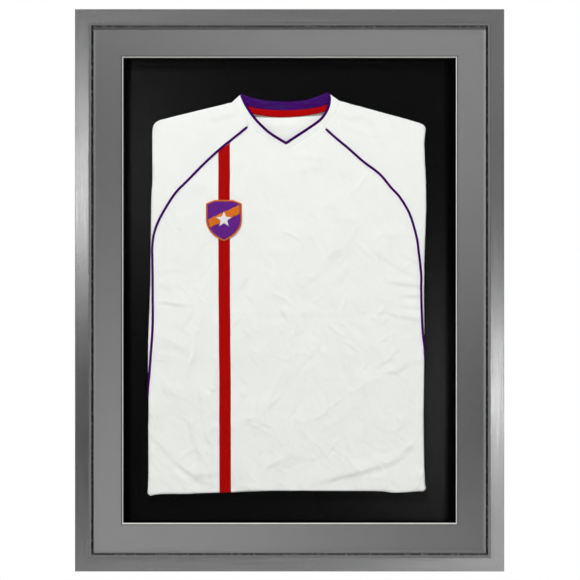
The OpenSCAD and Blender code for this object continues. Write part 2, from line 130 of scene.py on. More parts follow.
def normals(line):
    """Unit normal to the right of a line at each of its points."""
    d = np.gradient(line, axis=0)
    d /= np.hypot(*d.T)[:, None]
    return np.c_[d[:, 1], -d[:, 0]]


def triangulated(polygon, spacing, lines=(), seed=1):
    """Points and triangles that fill a polygon, with edges along the given lines."""
    rng = random.Random(seed)
    lo, hi = polygon.min(0), polygon.max(0)
    fixed = [polygon] + [np.asarray(x, float) for x in lines]
    grid = []
    row = 0
    y = lo[1]
    while y < hi[1]:
        x = lo[0] + (row % 2) * spacing / 2
        while x < hi[0]:
            shift = spacing * 0.12
            grid.append((x + rng.uniform(-shift, shift), y + rng.uniform(-shift, shift)))
            x += spacing
        y += spacing * 0.866
        row += 1
    grid = np.array(grid)
    keep = inside(grid, polygon)
    closed = np.vstack([polygon, polygon[:1]])
    for line in [closed] + fixed[1:]:
        keep &= nearest(grid, line)[0] > spacing * 0.55
    coords = [Vector(p) for p in polygon]
    edges = []
    for line in fixed[1:]:
        start = len(coords)
        coords += [Vector(p) for p in line]
        edges += [(start + i, start + i + 1) for i in range(len(line) - 1)]
    coords += [Vector(p) for p in grid[keep]]
    face = [list(range(len(polygon)))]
    made = delaunay_2d_cdt(coords, edges, face, 1, 1e-4)
    points = np.array([tuple(v) for v in made[0]])
    triangles = np.array([t for t in made[2] if len(t) == 3])
    corner = points[triangles]
    a = corner[:, 1] - corner[:, 0]
    b = corner[:, 2] - corner[:, 0]
    flip = a[:, 0] * b[:, 1] - a[:, 1] * b[:, 0] < 0
    triangles[flip] = triangles[flip][:, ::-1]
    return points, triangles


# ---- Mesh objects ----

def plain_object(name, vertices, faces):
    mesh = bpy.data.meshes.new(name)
    mesh.from_pydata(vertices, [], faces)
    obj = bpy.data.objects.new(name, mesh)
    bpy.context.scene.collection.objects.link(obj)
    return obj


def new_object(name, vertices, faces):
    """A smooth-shaded piece that rides on the frame body."""
    obj = plain_object(name, [tuple(v) for v in vertices], [tuple(int(i) for i in f) for f in faces])
    obj.data.validate()
    obj.data.polygons.foreach_set("use_smooth", [True] * len(obj.data.polygons))
    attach(obj, "frame")
    return obj


def placed(name, shell, finish, node=None):
    """A piece with its finish and slot, in place of a CAD node if one is given."""
    obj = new_object(name, *shell)
    obj.data.materials.append(FINISHES[finish])
    if node:
        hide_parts(node)
    return obj


def closed_sheet(front, back, triangles):
    """Vertices and faces of a sheet with a front, a back and edges all round."""
    used, renamed = np.unique(triangles, return_inverse=True)
    tri = renamed.reshape(triangles.shape)
    n = len(used)
    vertices = np.vstack([front[used], back[used]])
    faces = [tuple(t) for t in tri] + [tuple(t[::-1] + n) for t in tri]
    count = {}
    for t in tri:
        for a, b in ((t[0], t[1]), (t[1], t[2]), (t[2], t[0])):
            count[(a, b)] = count.get((a, b), 0) + 1
    for a, b in count:
        if (b, a) not in count:
            faces.append((b, a, a + n, b + n))
    return vertices, faces


def merged(*shells):
    """Several shells of vertices and faces as one."""
    vertices, faces = [], []
    for v, f in shells:
        start = len(vertices)
        vertices += [tuple(p) for p in v]
        faces += [tuple(i + start for i in face) for face in f]
    return vertices, faces


def tube_shell(centres, sideways, upward, width, height, around=10, taper=2):
    """A closed tube with an oval section along a line of 3D points."""
    c, s, u = (np.asarray(x, float) for x in (centres, sideways, upward))
    n = len(c)
    vertices, faces = [], []
    for i in range(n):
        end = min(i, n - 1 - i)
        size = 1.0 if end >= taper else math.sqrt(1 - (1 - (end + 0.25) / (taper + 0.25)) ** 2)
        for k in range(around):
            a = 2 * math.pi * k / around
            w = size * (width / 2 * math.cos(a) * s[i] + height / 2 * math.sin(a) * u[i])
            vertices.append(c[i] + w)
    for i in range(n - 1):
        for k in range(around):
            j = (k + 1) % around
            faces.append((i * around + k, i * around + j, (i + 1) * around + j, (i + 1) * around + k))
    faces.append(tuple(range(around))[::-1])
    faces.append(tuple((n - 1) * around + k for k in range(around)))
    return vertices, faces


# ---- Node materials ----

class Finish:
    """A node material round one Principled shader."""

    def __init__(self, name, **values):
        self.material = bpy.data.materials.new(name)
        self.material.use_nodes = True
        self.tree = self.material.node_tree
        self.tree.nodes.clear()
        self.output = self.node("ShaderNodeOutputMaterial")
        self.shader = self.node("ShaderNodeBsdfPrincipled")
        self.link(self.shader.outputs[0], self.output.inputs["Surface"])
        for key, value in values.items():
            self.shader.inputs[key.replace("_", " ")].default_value = value
        self.place = self.node("ShaderNodeTexCoord").outputs["Object"]

    def link(self, a, b):
        self.tree.links.new(a, b)

    def node(self, kind, inputs=None, **settings):
        made = self.tree.nodes.new(kind)
        for key, value in settings.items():
            setattr(made, key, value)
        for key, value in (inputs or {}).items():
            if isinstance(value, bpy.types.NodeSocket):
                self.link(value, made.inputs[key])
            else:
                made.inputs[key].default_value = value
        return made

    def stretched(self, scale):
        return self.node("ShaderNodeMapping", {"Vector": self.place, "Scale": scale}).outputs[0]

    def noise(self, size, detail=2, stretch=(1, 1, 1), roughness=0.5):
        """Noise whose blotches are about size metres across."""
        inputs = {"Vector": self.stretched(stretch), "Scale": 0.5 / size, "Detail": detail,
                  "Roughness": roughness}
        return self.node("ShaderNodeTexNoise", inputs).outputs["Fac"]

    def wave(self, period, axis, distortion=0.0, vector=None):
        """Sine bands a period apart along an axis."""
        inputs = {"Vector": vector or self.place, "Scale": math.pi / (10 * period),
                  "Distortion": distortion, "Detail": 1}
        return self.node("ShaderNodeTexWave", inputs, bands_direction=axis).outputs["Fac"]

    def math(self, operation, a, b=0.0, clamp=False):
        made = self.node("ShaderNodeMath", {0: a, 1: b}, operation=operation)
        made.use_clamp = clamp
        return made.outputs[0]

    def mapped(self, value, low, high, to_low=0.0, to_high=1.0):
        inputs = {"Value": value, "From Min": low, "From Max": high, "To Min": to_low, "To Max": to_high}
        return self.node("ShaderNodeMapRange", inputs).outputs[0]

    def mix(self, share, a, b):
        made = self.node("ShaderNodeMix", data_type="RGBA")
        for socket, value in ((0, share), (6, a), (7, b)):
            if isinstance(value, bpy.types.NodeSocket):
                self.link(value, made.inputs[socket])
            else:
                made.inputs[socket].default_value = value if socket == 0 else (*value, 1.0)
        return made.outputs[2]

    def tones(self, x, z, spots, start):
        """A value with soft round spots added: middle, width, height and amount of each."""
        total = start
        for middle, wide, high, amount in spots:
            dx = self.math("DIVIDE", self.math("SUBTRACT", x, middle[0]), wide)
            dz = self.math("DIVIDE", self.math("SUBTRACT", z, middle[1]), high)
            square = self.math("ADD", self.math("MULTIPLY", dx, dx), self.math("MULTIPLY", dz, dz))
            spot = self.math("EXPONENT", self.math("MULTIPLY", square, -1.0))
            total = self.math("ADD", total, self.math("MULTIPLY", spot, amount))
        return total

    def axis(self, name, vector=None):
        return self.node("ShaderNodeSeparateXYZ", {0: vector or self.place}).outputs[name]

    def normal_axis(self, name):
        normal = self.node("ShaderNodeTexCoord").outputs["Normal"]
        return self.axis(name, normal)

    def color(self, value):
        self.link(value, self.shader.inputs["Base Color"])

    def rough(self, value):
        self.link(value, self.shader.inputs["Roughness"])

    def bump(self, height, strength, distance):
        """Adds a bump on top of those that are there."""
        socket = self.shader.inputs["Normal"]
        inputs = {"Height": height, "Strength": strength, "Distance": distance}
        if socket.is_linked:
            inputs["Normal"] = socket.links[0].from_socket
        self.link(self.node("ShaderNodeBump", inputs).outputs[0], socket)


def grey(value):
    return (value, value, value)


def brushed_metal(name, tone, axis, roughness):
    """Satin anodised aluminium, brushed along one axis, with a fine grain."""
    f = Finish(name, Metallic=1.0)
    along = (0.02, 1, 1) if axis == "X" else (1, 1, 0.02)
    streaks = f.noise(0.0006, 3, along, 0.6)
    grain = f.noise(0.0011, 2)
    cloud = f.noise(0.05, 2)
    lines = f.noise(0.0019, 2, along, 0.6)
    shade = f.math("ADD", f.math("MULTIPLY", streaks, 0.35), f.math("MULTIPLY", grain, 0.3))
    shade = f.math("ADD", shade, f.math("MULTIPLY", lines, 0.35))
    dark = tuple(c * 0.88 for c in tone)
    light = tuple(min(1, c * 1.1) for c in tone)
    f.color(f.mix(f.mapped(shade, 0.36, 0.64), dark, light))
    wear = f.math("ADD", f.math("MULTIPLY", cloud, 0.05), f.math("MULTIPLY", streaks, 0.1))
    f.rough(f.math("ADD", wear, roughness - 0.07))
    f.bump(streaks, 0.12, 0.00012)
    f.bump(grain, 0.15, 0.00012)
    return f.material


def plain_steel(name, tone, roughness, spots=0.0015):
    """Plated steel with a faint spangle and small rubbed marks."""
    f = Finish(name, Metallic=1.0)
    spangle = f.noise(spots, 3)
    marks = f.noise(0.006, 4, (1, 1, 1), 0.7)
    f.color(f.mix(f.mapped(spangle, 0.35, 0.65), tuple(c * 0.8 for c in tone), tone))
    f.rough(f.mapped(marks, 0.3, 0.7, roughness - 0.08, roughness + 0.1))
    f.bump(spangle, 0.1, 0.0002)
    return f.material


def rubber(name, tone, grain, depth, flecks=0.0, roughness=0.8):
    """Black rubber or foam with an open, rough surface."""
    f = Finish(name, Specular_IOR_Level=0.4)
    coarse = f.noise(grain, 4, (1, 1, 1), 0.75)
    fine = f.noise(grain / 3, 2)
    mixed = f.mapped(coarse, 0.5, 0.68)
    f.color(f.mix(mixed, tone, tuple(c + flecks for c in tone)))
    f.rough(f.mapped(fine, 0.3, 0.7, roughness - 0.1, roughness + 0.1))
    f.bump(coarse, 0.8, depth)
    f.bump(fine, 0.4, depth / 2)
    return f.material


def mount_card():
    """Satin grey mount board with a cream core, which shows at the bevelled window; painted light, shade and
    highlight on its face, and painted shadow on the bevel.
    """
    f = Finish("mount_card", Roughness=0.6, Specular_IOR_Level=0.22)
    fibre = f.noise(0.0012, 3, (1, 1, 1), 0.6)
    pulp = f.noise(0.012, 3)
    x, z = f.axis("X"), f.axis("Z")
    # The card's tone: a faint random pulp variation plus soft spots of painted light and shade
    tone_and_painted_light = f.tones(x, z, MOUNT_PAINTED_LIGHT, f.math("MULTIPLY", f.math("SUBTRACT", pulp, 0.5), 0.05))
    face = f.mix(f.math("ADD", tone_and_painted_light, 0.5, True), MOUNT_DARK, MOUNT_LIGHT)
    past_x = f.math("SUBTRACT", f.math("ABSOLUTE", x), BEVEL_EDGE[0])
    past_z = f.math("SUBTRACT", f.math("ABSOLUTE", z), BEVEL_EDGE[1])
    from_cut = f.math("MAXIMUM", past_x, past_z)
    # A darker blue-grey line on the card's face, within a few millimetres outside the window cut
    rubbed = f.mapped(from_cut, 0.0026, 0.001)
    face = f.mix(f.math("MULTIPLY", rubbed, 0.9), face, (0.06, 0.063, 0.075))
    # Painted highlight along the card's outer rim: strong on the right, and weaker all round, where it lifts
    # the shadow of the frame's lip
    right = f.math("MULTIPLY", f.mapped(x, *CARD_PAINTED_HIGHLIGHT), 0.75)
    taller = f.math("SUBTRACT", f.math("ABSOLUTE", z), BEVEL_EDGE[2])
    all_round = f.mapped(f.math("MAXIMUM", f.math("ABSOLUTE", x), taller), *CARD_PAINTED_HIGHLIGHT)
    rim = f.math("MAXIMUM", right, f.math("MULTIPLY", all_round, 0.4))
    face = f.mix(rim, face, grey(0.42))
    flatness = f.math("ABSOLUTE", f.normal_axis("Y"))
    core = f.mapped(flatness, 0.97, 0.9)
    cream = f.mix(fibre, (0.72, 0.69, 0.66), (0.84, 0.81, 0.77))
    # Painted shadow on the inner half of the bevel, by the cut's lower edge
    cream = f.mix(f.mapped(from_cut, -0.0009, -0.0015), cream, (0.12, 0.11, 0.1))
    f.color(f.mix(core, face, cream))
    f.rough(f.mapped(pulp, 0.3, 0.7, 0.52, 0.66))
    f.bump(fibre, 0.25, 0.0001)
    return f.material


def black_board():
    """Black-surfaced foam board with a faint paper tooth, painted sheen in two soft spots and painted shadow
    along the window's edges.
    """
    f = Finish("black_board", Specular_IOR_Level=0.12)
    tooth = f.noise(0.0008, 3, (1, 1, 1), 0.6)
    cloud = f.noise(0.03, 2)
    x, z = f.axis("X"), f.axis("Z")
    # The board's dark tone with a faint random cloud, plus soft spots of painted sheen
    tone_and_painted_sheen = f.tones(x, z, BOARD_PAINTED_SHEEN, f.math("ADD", f.math("MULTIPLY", cloud, 0.0006), 0.0021))
    # Painted shadow in narrow bands inside the window's edges: the colour darkens there and the board turns
    # rougher
    from_left = f.mapped(x, BOARD_SHADE[0], BOARD_SHADE[0] + 0.007)
    from_right = f.mapped(x, BOARD_SHADE[1], BOARD_SHADE[1] - 0.009)
    from_ends = f.mapped(f.math("ABSOLUTE", z), BOARD_SHADE[2], BOARD_SHADE[2] - 0.003)
    satin = f.math("MULTIPLY", f.math("MULTIPLY", from_left, from_right), from_ends)
    tone_and_painted_sheen = f.math("MULTIPLY", tone_and_painted_sheen, satin)
    f.color(f.node("ShaderNodeCombineColor", {0: tone_and_painted_sheen, 1: tone_and_painted_sheen, 2: tone_and_painted_sheen}).outputs[0])
    matt = f.math("MULTIPLY", f.math("SUBTRACT", 1.0, satin), 0.6)
    f.rough(f.math("ADD", f.mapped(tooth, 0.3, 0.7, 0.22, 0.28), matt))
    f.bump(tooth, 0.12, 0.0001)
    return f.material


def fibre_board():
    """Brown hardboard: short pressed fibres, darker flecks, and a lighter sawn edge."""
    f = Finish("fibre_board", Specular_IOR_Level=0.3)
    fibre = f.noise(0.0009, 4, (0.35, 1, 1), 0.7)
    cross = f.noise(0.0011, 4, (1, 1, 0.3), 0.7)
    flecks = f.noise(0.003, 3, (1, 1, 1), 0.6)
    cloud = f.noise(0.09, 3)
    base = f.mix(f.mapped(fibre, 0.3, 0.7), (0.16, 0.085, 0.04), (0.3, 0.18, 0.095))
    base = f.mix(f.math("MULTIPLY", f.mapped(flecks, 0.58, 0.72), 0.7), base, (0.07, 0.035, 0.018))
    base = f.mix(f.math("MULTIPLY", cloud, 0.35), base, (0.33, 0.2, 0.11))
    edge = f.mapped(f.math("ABSOLUTE", f.normal_axis("Y")), 0.6, 0.4)
    f.color(f.mix(edge, base, (0.36, 0.23, 0.13)))
    f.rough(f.mapped(cross, 0.3, 0.7, 0.55, 0.85))
    f.bump(fibre, 0.35, 0.0002)
    f.bump(cross, 0.3, 0.0002)
    return f.material


def glazing():
    """Clear coated acrylic: seen through, with a weak gloss that grows at a slant."""
    f = Finish("glazing")
    f.tree.nodes.remove(f.shader)
    gloss = f.node("ShaderNodeBsdfGlossy", {"Color": (1, 1, 1, 1), "Roughness": 0.16})
    clear = f.node("ShaderNodeBsdfTransparent", {"Color": (0.988, 0.988, 0.988, 1)})
    slant = f.node("ShaderNodeFresnel", {"IOR": 1.45}).outputs[0]
    smear = f.mapped(f.noise(0.07, 3), 0.3, 0.7, 0.03, 0.04)
    share = f.math("MULTIPLY", slant, smear)
    both = f.node("ShaderNodeMixShader", {0: share, 1: clear.outputs[0], 2: gloss.outputs[0]})
    f.link(both.outputs[0], f.output.inputs["Surface"])
    return f.material


def knit(name, tone, shade, course=0.0009, wale=0.0011, depth=0.00012, sheen=0.25, mottle=0.04,
         creased=0.0):
    """Polyester knit: fine wales and courses, a soft sheen and slight unevenness."""
    f = Finish(name, Roughness=0.75, Sheen_Weight=sheen, Sheen_Roughness=0.5, Specular_IOR_Level=sheen)
    if creased:
        lower = f.mapped(f.axis("Z"), 0.16, -0.26, 0.35, 1.0)
        ridges = f.node("ShaderNodeTexNoise", {"Vector": f.stretched((1, 1, 0.8)), "Scale": 17.0, "Detail": 3,
                        "Roughness": 0.45, "Distortion": 0.6, "Offset": 0.9, "Gain": 1.6},
                        noise_type="RIDGED_MULTIFRACTAL", normalize=True).outputs["Fac"]
        f.bump(f.math("MULTIPLY", ridges, lower), 0.5, creased)
    wales = f.wave(wale, "X", 0.6)
    courses = f.wave(course, "Z", 0.6)
    loops = f.math("MULTIPLY", wales, courses)
    fuzz = f.noise(0.0007, 3, (1, 1, 1), 0.6)
    cloud = f.noise(0.04, 3)
    uneven = f.math("ADD", f.math("MULTIPLY", f.math("SUBTRACT", 1.0, loops), 0.3),
                    f.math("MULTIPLY", cloud, mottle * 8))
    f.color(f.mix(f.math("MULTIPLY", uneven, 0.9, True), tone, shade))
    f.rough(f.mapped(fuzz, 0.3, 0.7, 0.68, 0.85))
    f.bump(loops, 0.35, depth)
    f.bump(fuzz, 0.25, depth)
    return f.material


def ribbed(name, tone, shade, axis="Z", period=0.0016, depth=0.0003, thread=None):
    """Rib-knit collar cloth with clear ribs and single lighter threads."""
    f = Finish(name, Roughness=0.7, Sheen_Weight=0.04, Sheen_Roughness=0.4, Specular_IOR_Level=0.1)
    ribs = f.wave(period, axis, 1.5)
    fine = f.noise(0.0006, 3, (0.25, 1, 1), 0.6)
    base = f.mix(f.mapped(ribs, 0.2, 0.8), shade, tone)
    if thread:
        lines = f.mapped(f.noise(0.0008, 2, (0.06, 1, 1)), 0.52, 0.62)
        base = f.mix(f.math("MULTIPLY", lines, 0.6), base, thread)
    f.color(base)
    f.rough(f.mapped(fine, 0.3, 0.7, 0.6, 0.8))
    f.bump(ribs, 0.6, depth)
    f.bump(fine, 0.4, 0.0001)
    return f.material


def embroidery(name, tone, shade, slant):
    """Satin stitch: close parallel threads with a silky gloss."""
    f = Finish(name, Roughness=0.5, Sheen_Weight=0.03, Specular_IOR_Level=0.15)
    turned = f.node("ShaderNodeMapping", {"Vector": f.place, "Rotation": (0, slant, 0)}).outputs[0]
    threads = f.wave(0.0007, "X", 1.0, turned)
    fuzz = f.noise(0.0005, 2)
    f.color(f.mix(f.mapped(threads, 0.15, 0.85), shade, tone))
    f.rough(f.mapped(fuzz, 0.3, 0.7, 0.38, 0.6))
    f.bump(threads, 0.6, 0.0002)
    f.bump(fuzz, 0.3, 0.0001)
    return f.material


def cord_cloth(name, tone, shade):
    """Piping: a satin tube with a twisted thread look."""
    f = Finish(name, Roughness=0.5, Specular_IOR_Level=0.02)
    turned = f.node("ShaderNodeMapping", {"Vector": f.place, "Rotation": (0, 0.8, 0)}).outputs[0]
    twist = f.wave(0.0011, "X", 0.8, turned)
    fuzz = f.noise(0.0006, 3)
    f.color(f.mix(f.mapped(twist, 0.2, 0.8), shade, tone))
    f.rough(f.mapped(fuzz, 0.3, 0.7, 0.42, 0.65))
    f.bump(twist, 0.5, 0.0002)
    f.bump(fuzz, 0.3, 0.0001)
    return f.material


# The mount window's edge to the sides and up, and how much taller than wide the card is
BEVEL_EDGE = (0.252, 0.3514, 0.1)
# Painted highlight on the card's outer rim beside the gasket, strongest on the right, weaker all round where
# it lifts the lip's shadow: where it begins and is full
CARD_PAINTED_HIGHLIGHT = (0.2905, 0.295)
# Where the painted shadow along the window's edges on the black board is full, and the board turns matt:
# left, right, and top and bottom
BOARD_SHADE = (-0.244, 0.241, 0.3495)
# Painted sheen on the black board in soft spots, listed as the mount's painted light below
BOARD_PAINTED_SHEEN = [
    ((0.25, -0.17), 0.13, 0.2, 0.019),
    ((-0.25, 0.19), 0.12, 0.17, 0.009),
]
MOUNT_DARK = (0.095, 0.095, 0.096)
MOUNT_LIGHT = (0.285, 0.285, 0.287)
# Painted light and shade on the card, as soft spots in its tone: middle, width, height, and how much lighter
# or darker
MOUNT_PAINTED_LIGHT = [
    ((-0.3, 0.23), 0.2, 0.22, -0.3),
    ((0.3, -0.19), 0.26, 0.2, -0.42),
    ((-0.27, -0.42), 0.4, 0.32, 0.46),
    ((0.27, 0.42), 0.4, 0.3, 0.14),
]
WHITE = (0.9, 0.915, 0.885)
WHITE_SHADE = (0.8, 0.82, 0.79)
PURPLE_CORD = (0.062, 0.0003, 0.125)
PURPLE_CORD_DARK = (0.042, 0.0003, 0.085)
RED = (0.433, 0.0026, 0.0024)
RED_DARK = (0.333, 0.0022, 0.0022)
ORANGE = (0.8, 0.2, 0.01)

ALUMINIUM = (0.6, 0.6, 0.605)


# ---- The jersey's lines, in millimetres from the frame's middle ----

CLOTH_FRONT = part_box("jersey_front")[0].y
ROLL = 2.4
ROLL_END = math.radians(112)

LEFT_SIDE = [
    (-66, 288.5), (-85, 284), (-121, 275.5), (-184, 260), (-200, 255), (-206.5, 246), (-207.5, 225),
    (-207, 172), (-209, 136), (-210, 60), (-210.8, 0), (-213.2, -62), (-214, -110), (-213, -150),
    (-213.5, -220), (-213.5, -289), (-215.5, -308)
]
HEM = [
    (-215.5, -308), (-213, -311.5), (-205, -309), (-185, -307), (-157, -307), (-105, -305.5), (-38, -303),
    (0, -302.5), (84, -303), (134, -303), (160, -305.5), (193, -303.5), (201, -303.5), (206, -302)
]
RIGHT_SIDE = [
    (206, -302), (203.7, -278), (202.5, -194), (203, -150), (203.4, -50), (203, 0), (204, 61), (206, 110),
    (206, 158), (203.5, 220), (205, 240), (200, 251), (140, 268.5), (97, 280), (72, 287), (52, 292)
]
NECK_LEFT = [(-73.5, 296), (-66.5, 280), (-55, 262.5), (-42.5, 248.5), (-28, 236), (-5.5, 222)]
NECK_RIGHT = [
    (-5.5, 222), (12, 233.5), (29.5, 245), (45.5, 256.5), (54, 267), (59, 278), (60.5, 290), (58.5, 297.5)
]
SEAM_LEFT = [(-85.5, 284.5), (-77.5, 271), (-64, 254.5), (-50.5, 240), (-35, 226.5), (-6, 209.5)]
SEAM_RIGHT = [(-6, 209.5), (17, 222.5), (36, 234.5), (53, 247.5), (63.5, 260.5), (70.5, 274), (73, 286.5)]
RAGLAN_LEFT = [
    (-60.3, 250.4), (-63.5, 246.5), (-89, 226), (-104, 214), (-129, 191), (-154, 165.5), (-172, 147),
    (-188, 122.5), (-199, 101.5), (-205, 83), (-207.2, 64), (-207, 47), (-206.5, 0), (-206.6, -55),
    (-209.8, -102), (-212.4, -139)
]
RAGLAN_RIGHT = [
    (51.6, 246.4), (54.5, 243.5), (70, 229.5), (87, 215.5), (112, 193.5), (129, 181), (140, 171),
    (152, 156), (165, 142), (176, 125), (183, 110), (188.5, 92), (192.5, 75), (194.5, 58.5), (197, 39),
    (198.5, 19.5), (198.3, 0), (199.6, -41), (201, -66), (202.4, -83)
]

ROUND_THE_BODY = joined(spline(LEFT_SIDE), spline(HEM), spline(RIGHT_SIDE))


def inset_line(line, distance, step=2.5):
    """The line moved to its left by a distance, without the loops that sharp corners would make."""
    moved = line - distance * normals(line)
    clear = nearest(moved, line)[0] > distance - 0.03
    return resampled(moved[clear], step)


INNER = inset_line(ROUND_THE_BODY, ROLL)


def unrolled(points):
    """Where points of the front view lie once the rolled edge is laid flat."""
    p = np.asarray(points, float)
    d, q, _, side = nearest(p, INNER)
    out = (side < 0) & (d > 1e-6)
    moved = p.copy()
    n = (p[out] - q[out]) / d[out, None]
    moved[out] = q[out] + n * (ROLL * np.arcsin(np.clip(d[out] / ROLL, 0, 0.995)))[:, None]
    return moved


def rolled(points):
    """3D places in millimetres (across, depth, up) and normals of points laid flat."""
    p = np.asarray(points, float)
    d, q, _, side = nearest(p, INNER)
    out = (side < 0) & (d > 1e-6)
    place = np.c_[p[:, 0], np.zeros(len(p)), p[:, 1]]
    normal = np.tile([0.0, -1.0, 0.0], (len(p), 1))
    n = (p[out] - q[out]) / d[out, None]
    turn = d[out] / ROLL
    place[out, 0] = q[out, 0] + n[:, 0] * ROLL * np.sin(turn)
    place[out, 2] = q[out, 1] + n[:, 1] * ROLL * np.sin(turn)
    place[out, 1] = ROLL * (1 - np.cos(turn))
    normal[out] = np.c_[n[:, 0] * np.sin(turn), -np.cos(turn), n[:, 1] * np.sin(turn)]
    return place, normal


# ---- Folds and wrinkles of the cloth ----

# Each fold: its line, height, width above it and width below it
FOLDS = [
    ([(-212, -212), (-196, -229), (-177, -250), (-158, -267), (-138, -281), (-118, -291)], 2.3, 13, 4.5),
    ([(-150, -273), (-128, -276), (-104, -273)], 1.2, 8, 4),
    ([(-92, -288), (-70, -296), (-40, -299)], 1.1, 9, 4),
    ([(198, -210), (184, -229), (166, -250), (140, -262), (113, -269), (84, -278), (52, -285), (20, -293)],
     1.8, 12, 4.5),
    ([(60, -279), (92, -276), (120, -268)], 0.9, 7, 4),
    ([(200, -228), (188, -236), (172, -236)], 0.9, 8, 4),
    ([(204, 8), (176, 11), (148, 14)], 1.5, 7, 3),
    ([(204, -8), (182, -7), (163, -8)], 1.0, 5, 3),
    ([(205, -24), (180, -23), (160, -22)], 0.8, 5, 3),
    ([(204, -42), (178, -39), (150, -33), (131, -29)], 1.3, 7, 3.5),
    ([(205, 19), (180, 29), (152, 46), (126, 62)], 0.9, 8, 4),
    ([(205, 40), (186, 47), (168, 58)], 0.6, 6, 3),
    ([(-208, -12), (-196, -16), (-172, -19), (-150, -22)], 1.4, 6, 3),
    ([(-208, 8), (-185, 7), (-160, 10)], 0.6, 7, 4),
    ([(-206, 28), (-180, 31), (-165, 36)], 0.5, 6, 4),
    ([(-180, -76), (-164, -84), (-146, -86)], 1.0, 9, 6),
    ([(-166, -128), (-150, -108), (-136, -92)], 0.8, 6, 4),
    ([(-200, -143), (-178, -152), (-160, -170)], 0.7, 7, 5),
    ([(142, -119), (158, -122), (178, -109)], 1.3, 7, 3.5),
    ([(146, -100), (164, -104), (182, -98)], 0.6, 6, 4),
    ([(-130, 150), (-112, 138), (-96, 134)], 0.4, 8, 5),
    ([(-176, 104), (-156, 112), (-138, 118)], 0.6, 7, 4),
    ([(-6, 196), (44, 188), (84, 181), (134, 178)], 0.4, 11, 8),
    ([(-2, 204), (34, 201), (66, 196)], 0.5, 6, 4),
    ([(52, 126), (64, 130), (78, 122)], 0.9, 9, 6),
    ([(70, 112), (88, 108), (104, 110)], 0.8, 8, 5),
    ([(-12, 84), (6, 92), (24, 86)], 0.9, 12, 8),
    ([(-44, 56), (-26, 60), (-8, 48)], 0.6, 9, 5),
    ([(34, 22), (52, 44), (72, 66), (92, 82)], 0.9, 12, 9),
    ([(58, 8), (76, 24), (92, 40)], 0.6, 9, 6),
    ([(-84, -33), (-40, -34), (10, -33), (56, -35), (100, -33)], 0.55, 7, 4),
    ([(-12, -22), (4, -40), (24, -68)], 0.6, 6, 4),
    ([(-9, -196), (6, -176), (16, -160)], 0.7, 5, 3),
    ([(56, -163), (68, -176), (78, -192)], 0.7, 5, 3),
    ([(52, -206), (70, -198), (92, -182)], 0.6, 5, 4),
    ([(96, -234), (118, -208), (134, -186)], 0.6, 6, 4),
    ([(160, -214), (178, -186), (192, -160)], 0.8, 7, 4),
    ([(-194, -250), (-176, -268), (-160, -290)], 0.6, 7, 5),
    ([(-56, -250), (-34, -262), (-14, -256)], 0.6, 7, 4),
    ([(-4, -240), (18, -252), (44, -250)], 0.5, 7, 4),
    ([(-78, 272), (-104, 262), (-128, 262)], 0.7, 8, 4),
    ([(-92, 250), (-120, 240), (-150, 243)], 0.5, 9, 5),
    ([(-186, 250), (-166, 236), (-156, 218)], 0.5, 8, 5),
    ([(74, 266), (92, 262), (118, 266)], 0.7, 8, 4),
    ([(92, 246), (124, 236), (160, 240)], 0.5, 9, 5),
    ([(120, 262), (132, 244), (138, 226)], 0.5, 7, 5),
    ([(196, 200), (176, 188), (160, 170)], 0.5, 8, 5),
    ([(-206, 190), (-188, 176), (-176, 160)], 0.5, 8, 5),
]


def small_creases(count, seed):
    """Short creases at random, most of them slanting and in the lower half."""
    rng = random.Random(seed)
    made = []
    for _ in range(count):
        x = rng.uniform(-190, 185)
        z = 190 - 470 * math.sqrt(rng.random())
        angle = math.radians(rng.choice((-1, 1)) * rng.uniform(28, 66))
        half = rng.uniform(6, 19)
        bow = rng.uniform(-3, 3)
        dx, dz = half * math.cos(angle), half * math.sin(angle)
        line = [(x - dx, z - dz), (x - bow * math.sin(angle), z + bow * math.cos(angle)), (x + dx, z + dz)]
        made.append((line, rng.uniform(0.25, 0.75), rng.uniform(2.4, 4.6), rng.uniform(1.8, 2.8)))
    return made


def fold_height(points, folds):
    """Height of the folds at points, in millimetres towards the viewer."""
    p = np.asarray(points, float)
    total = np.zeros(len(p))
    for line, height, above, below in folds:
        line = spline(sorted(line), 4.0)
        reach = 3 * max(above, below)
        near = ((p > line.min(0) - reach) & (p < line.max(0) + reach)).all(1)
        if not near.any():
            continue
        d, _, share, side = nearest(p[near], line)
        width = np.where(side > 0, above, below)
        ends = np.sin(np.pi * (0.06 + 0.88 * share)) ** 0.7
        ridge = np.exp(-(d / width) ** 2)
        trough = 0.3 * np.exp(-((d - 2.1 * below) / (0.9 * below)) ** 2) * (side < 0)
        total[near] += height * ends * (ridge - trough)
    return total


CREASES = small_creases(220, 11)

CRUMPLE_STEP = 4.1
CRUMPLE_COUNT = (108, 154)


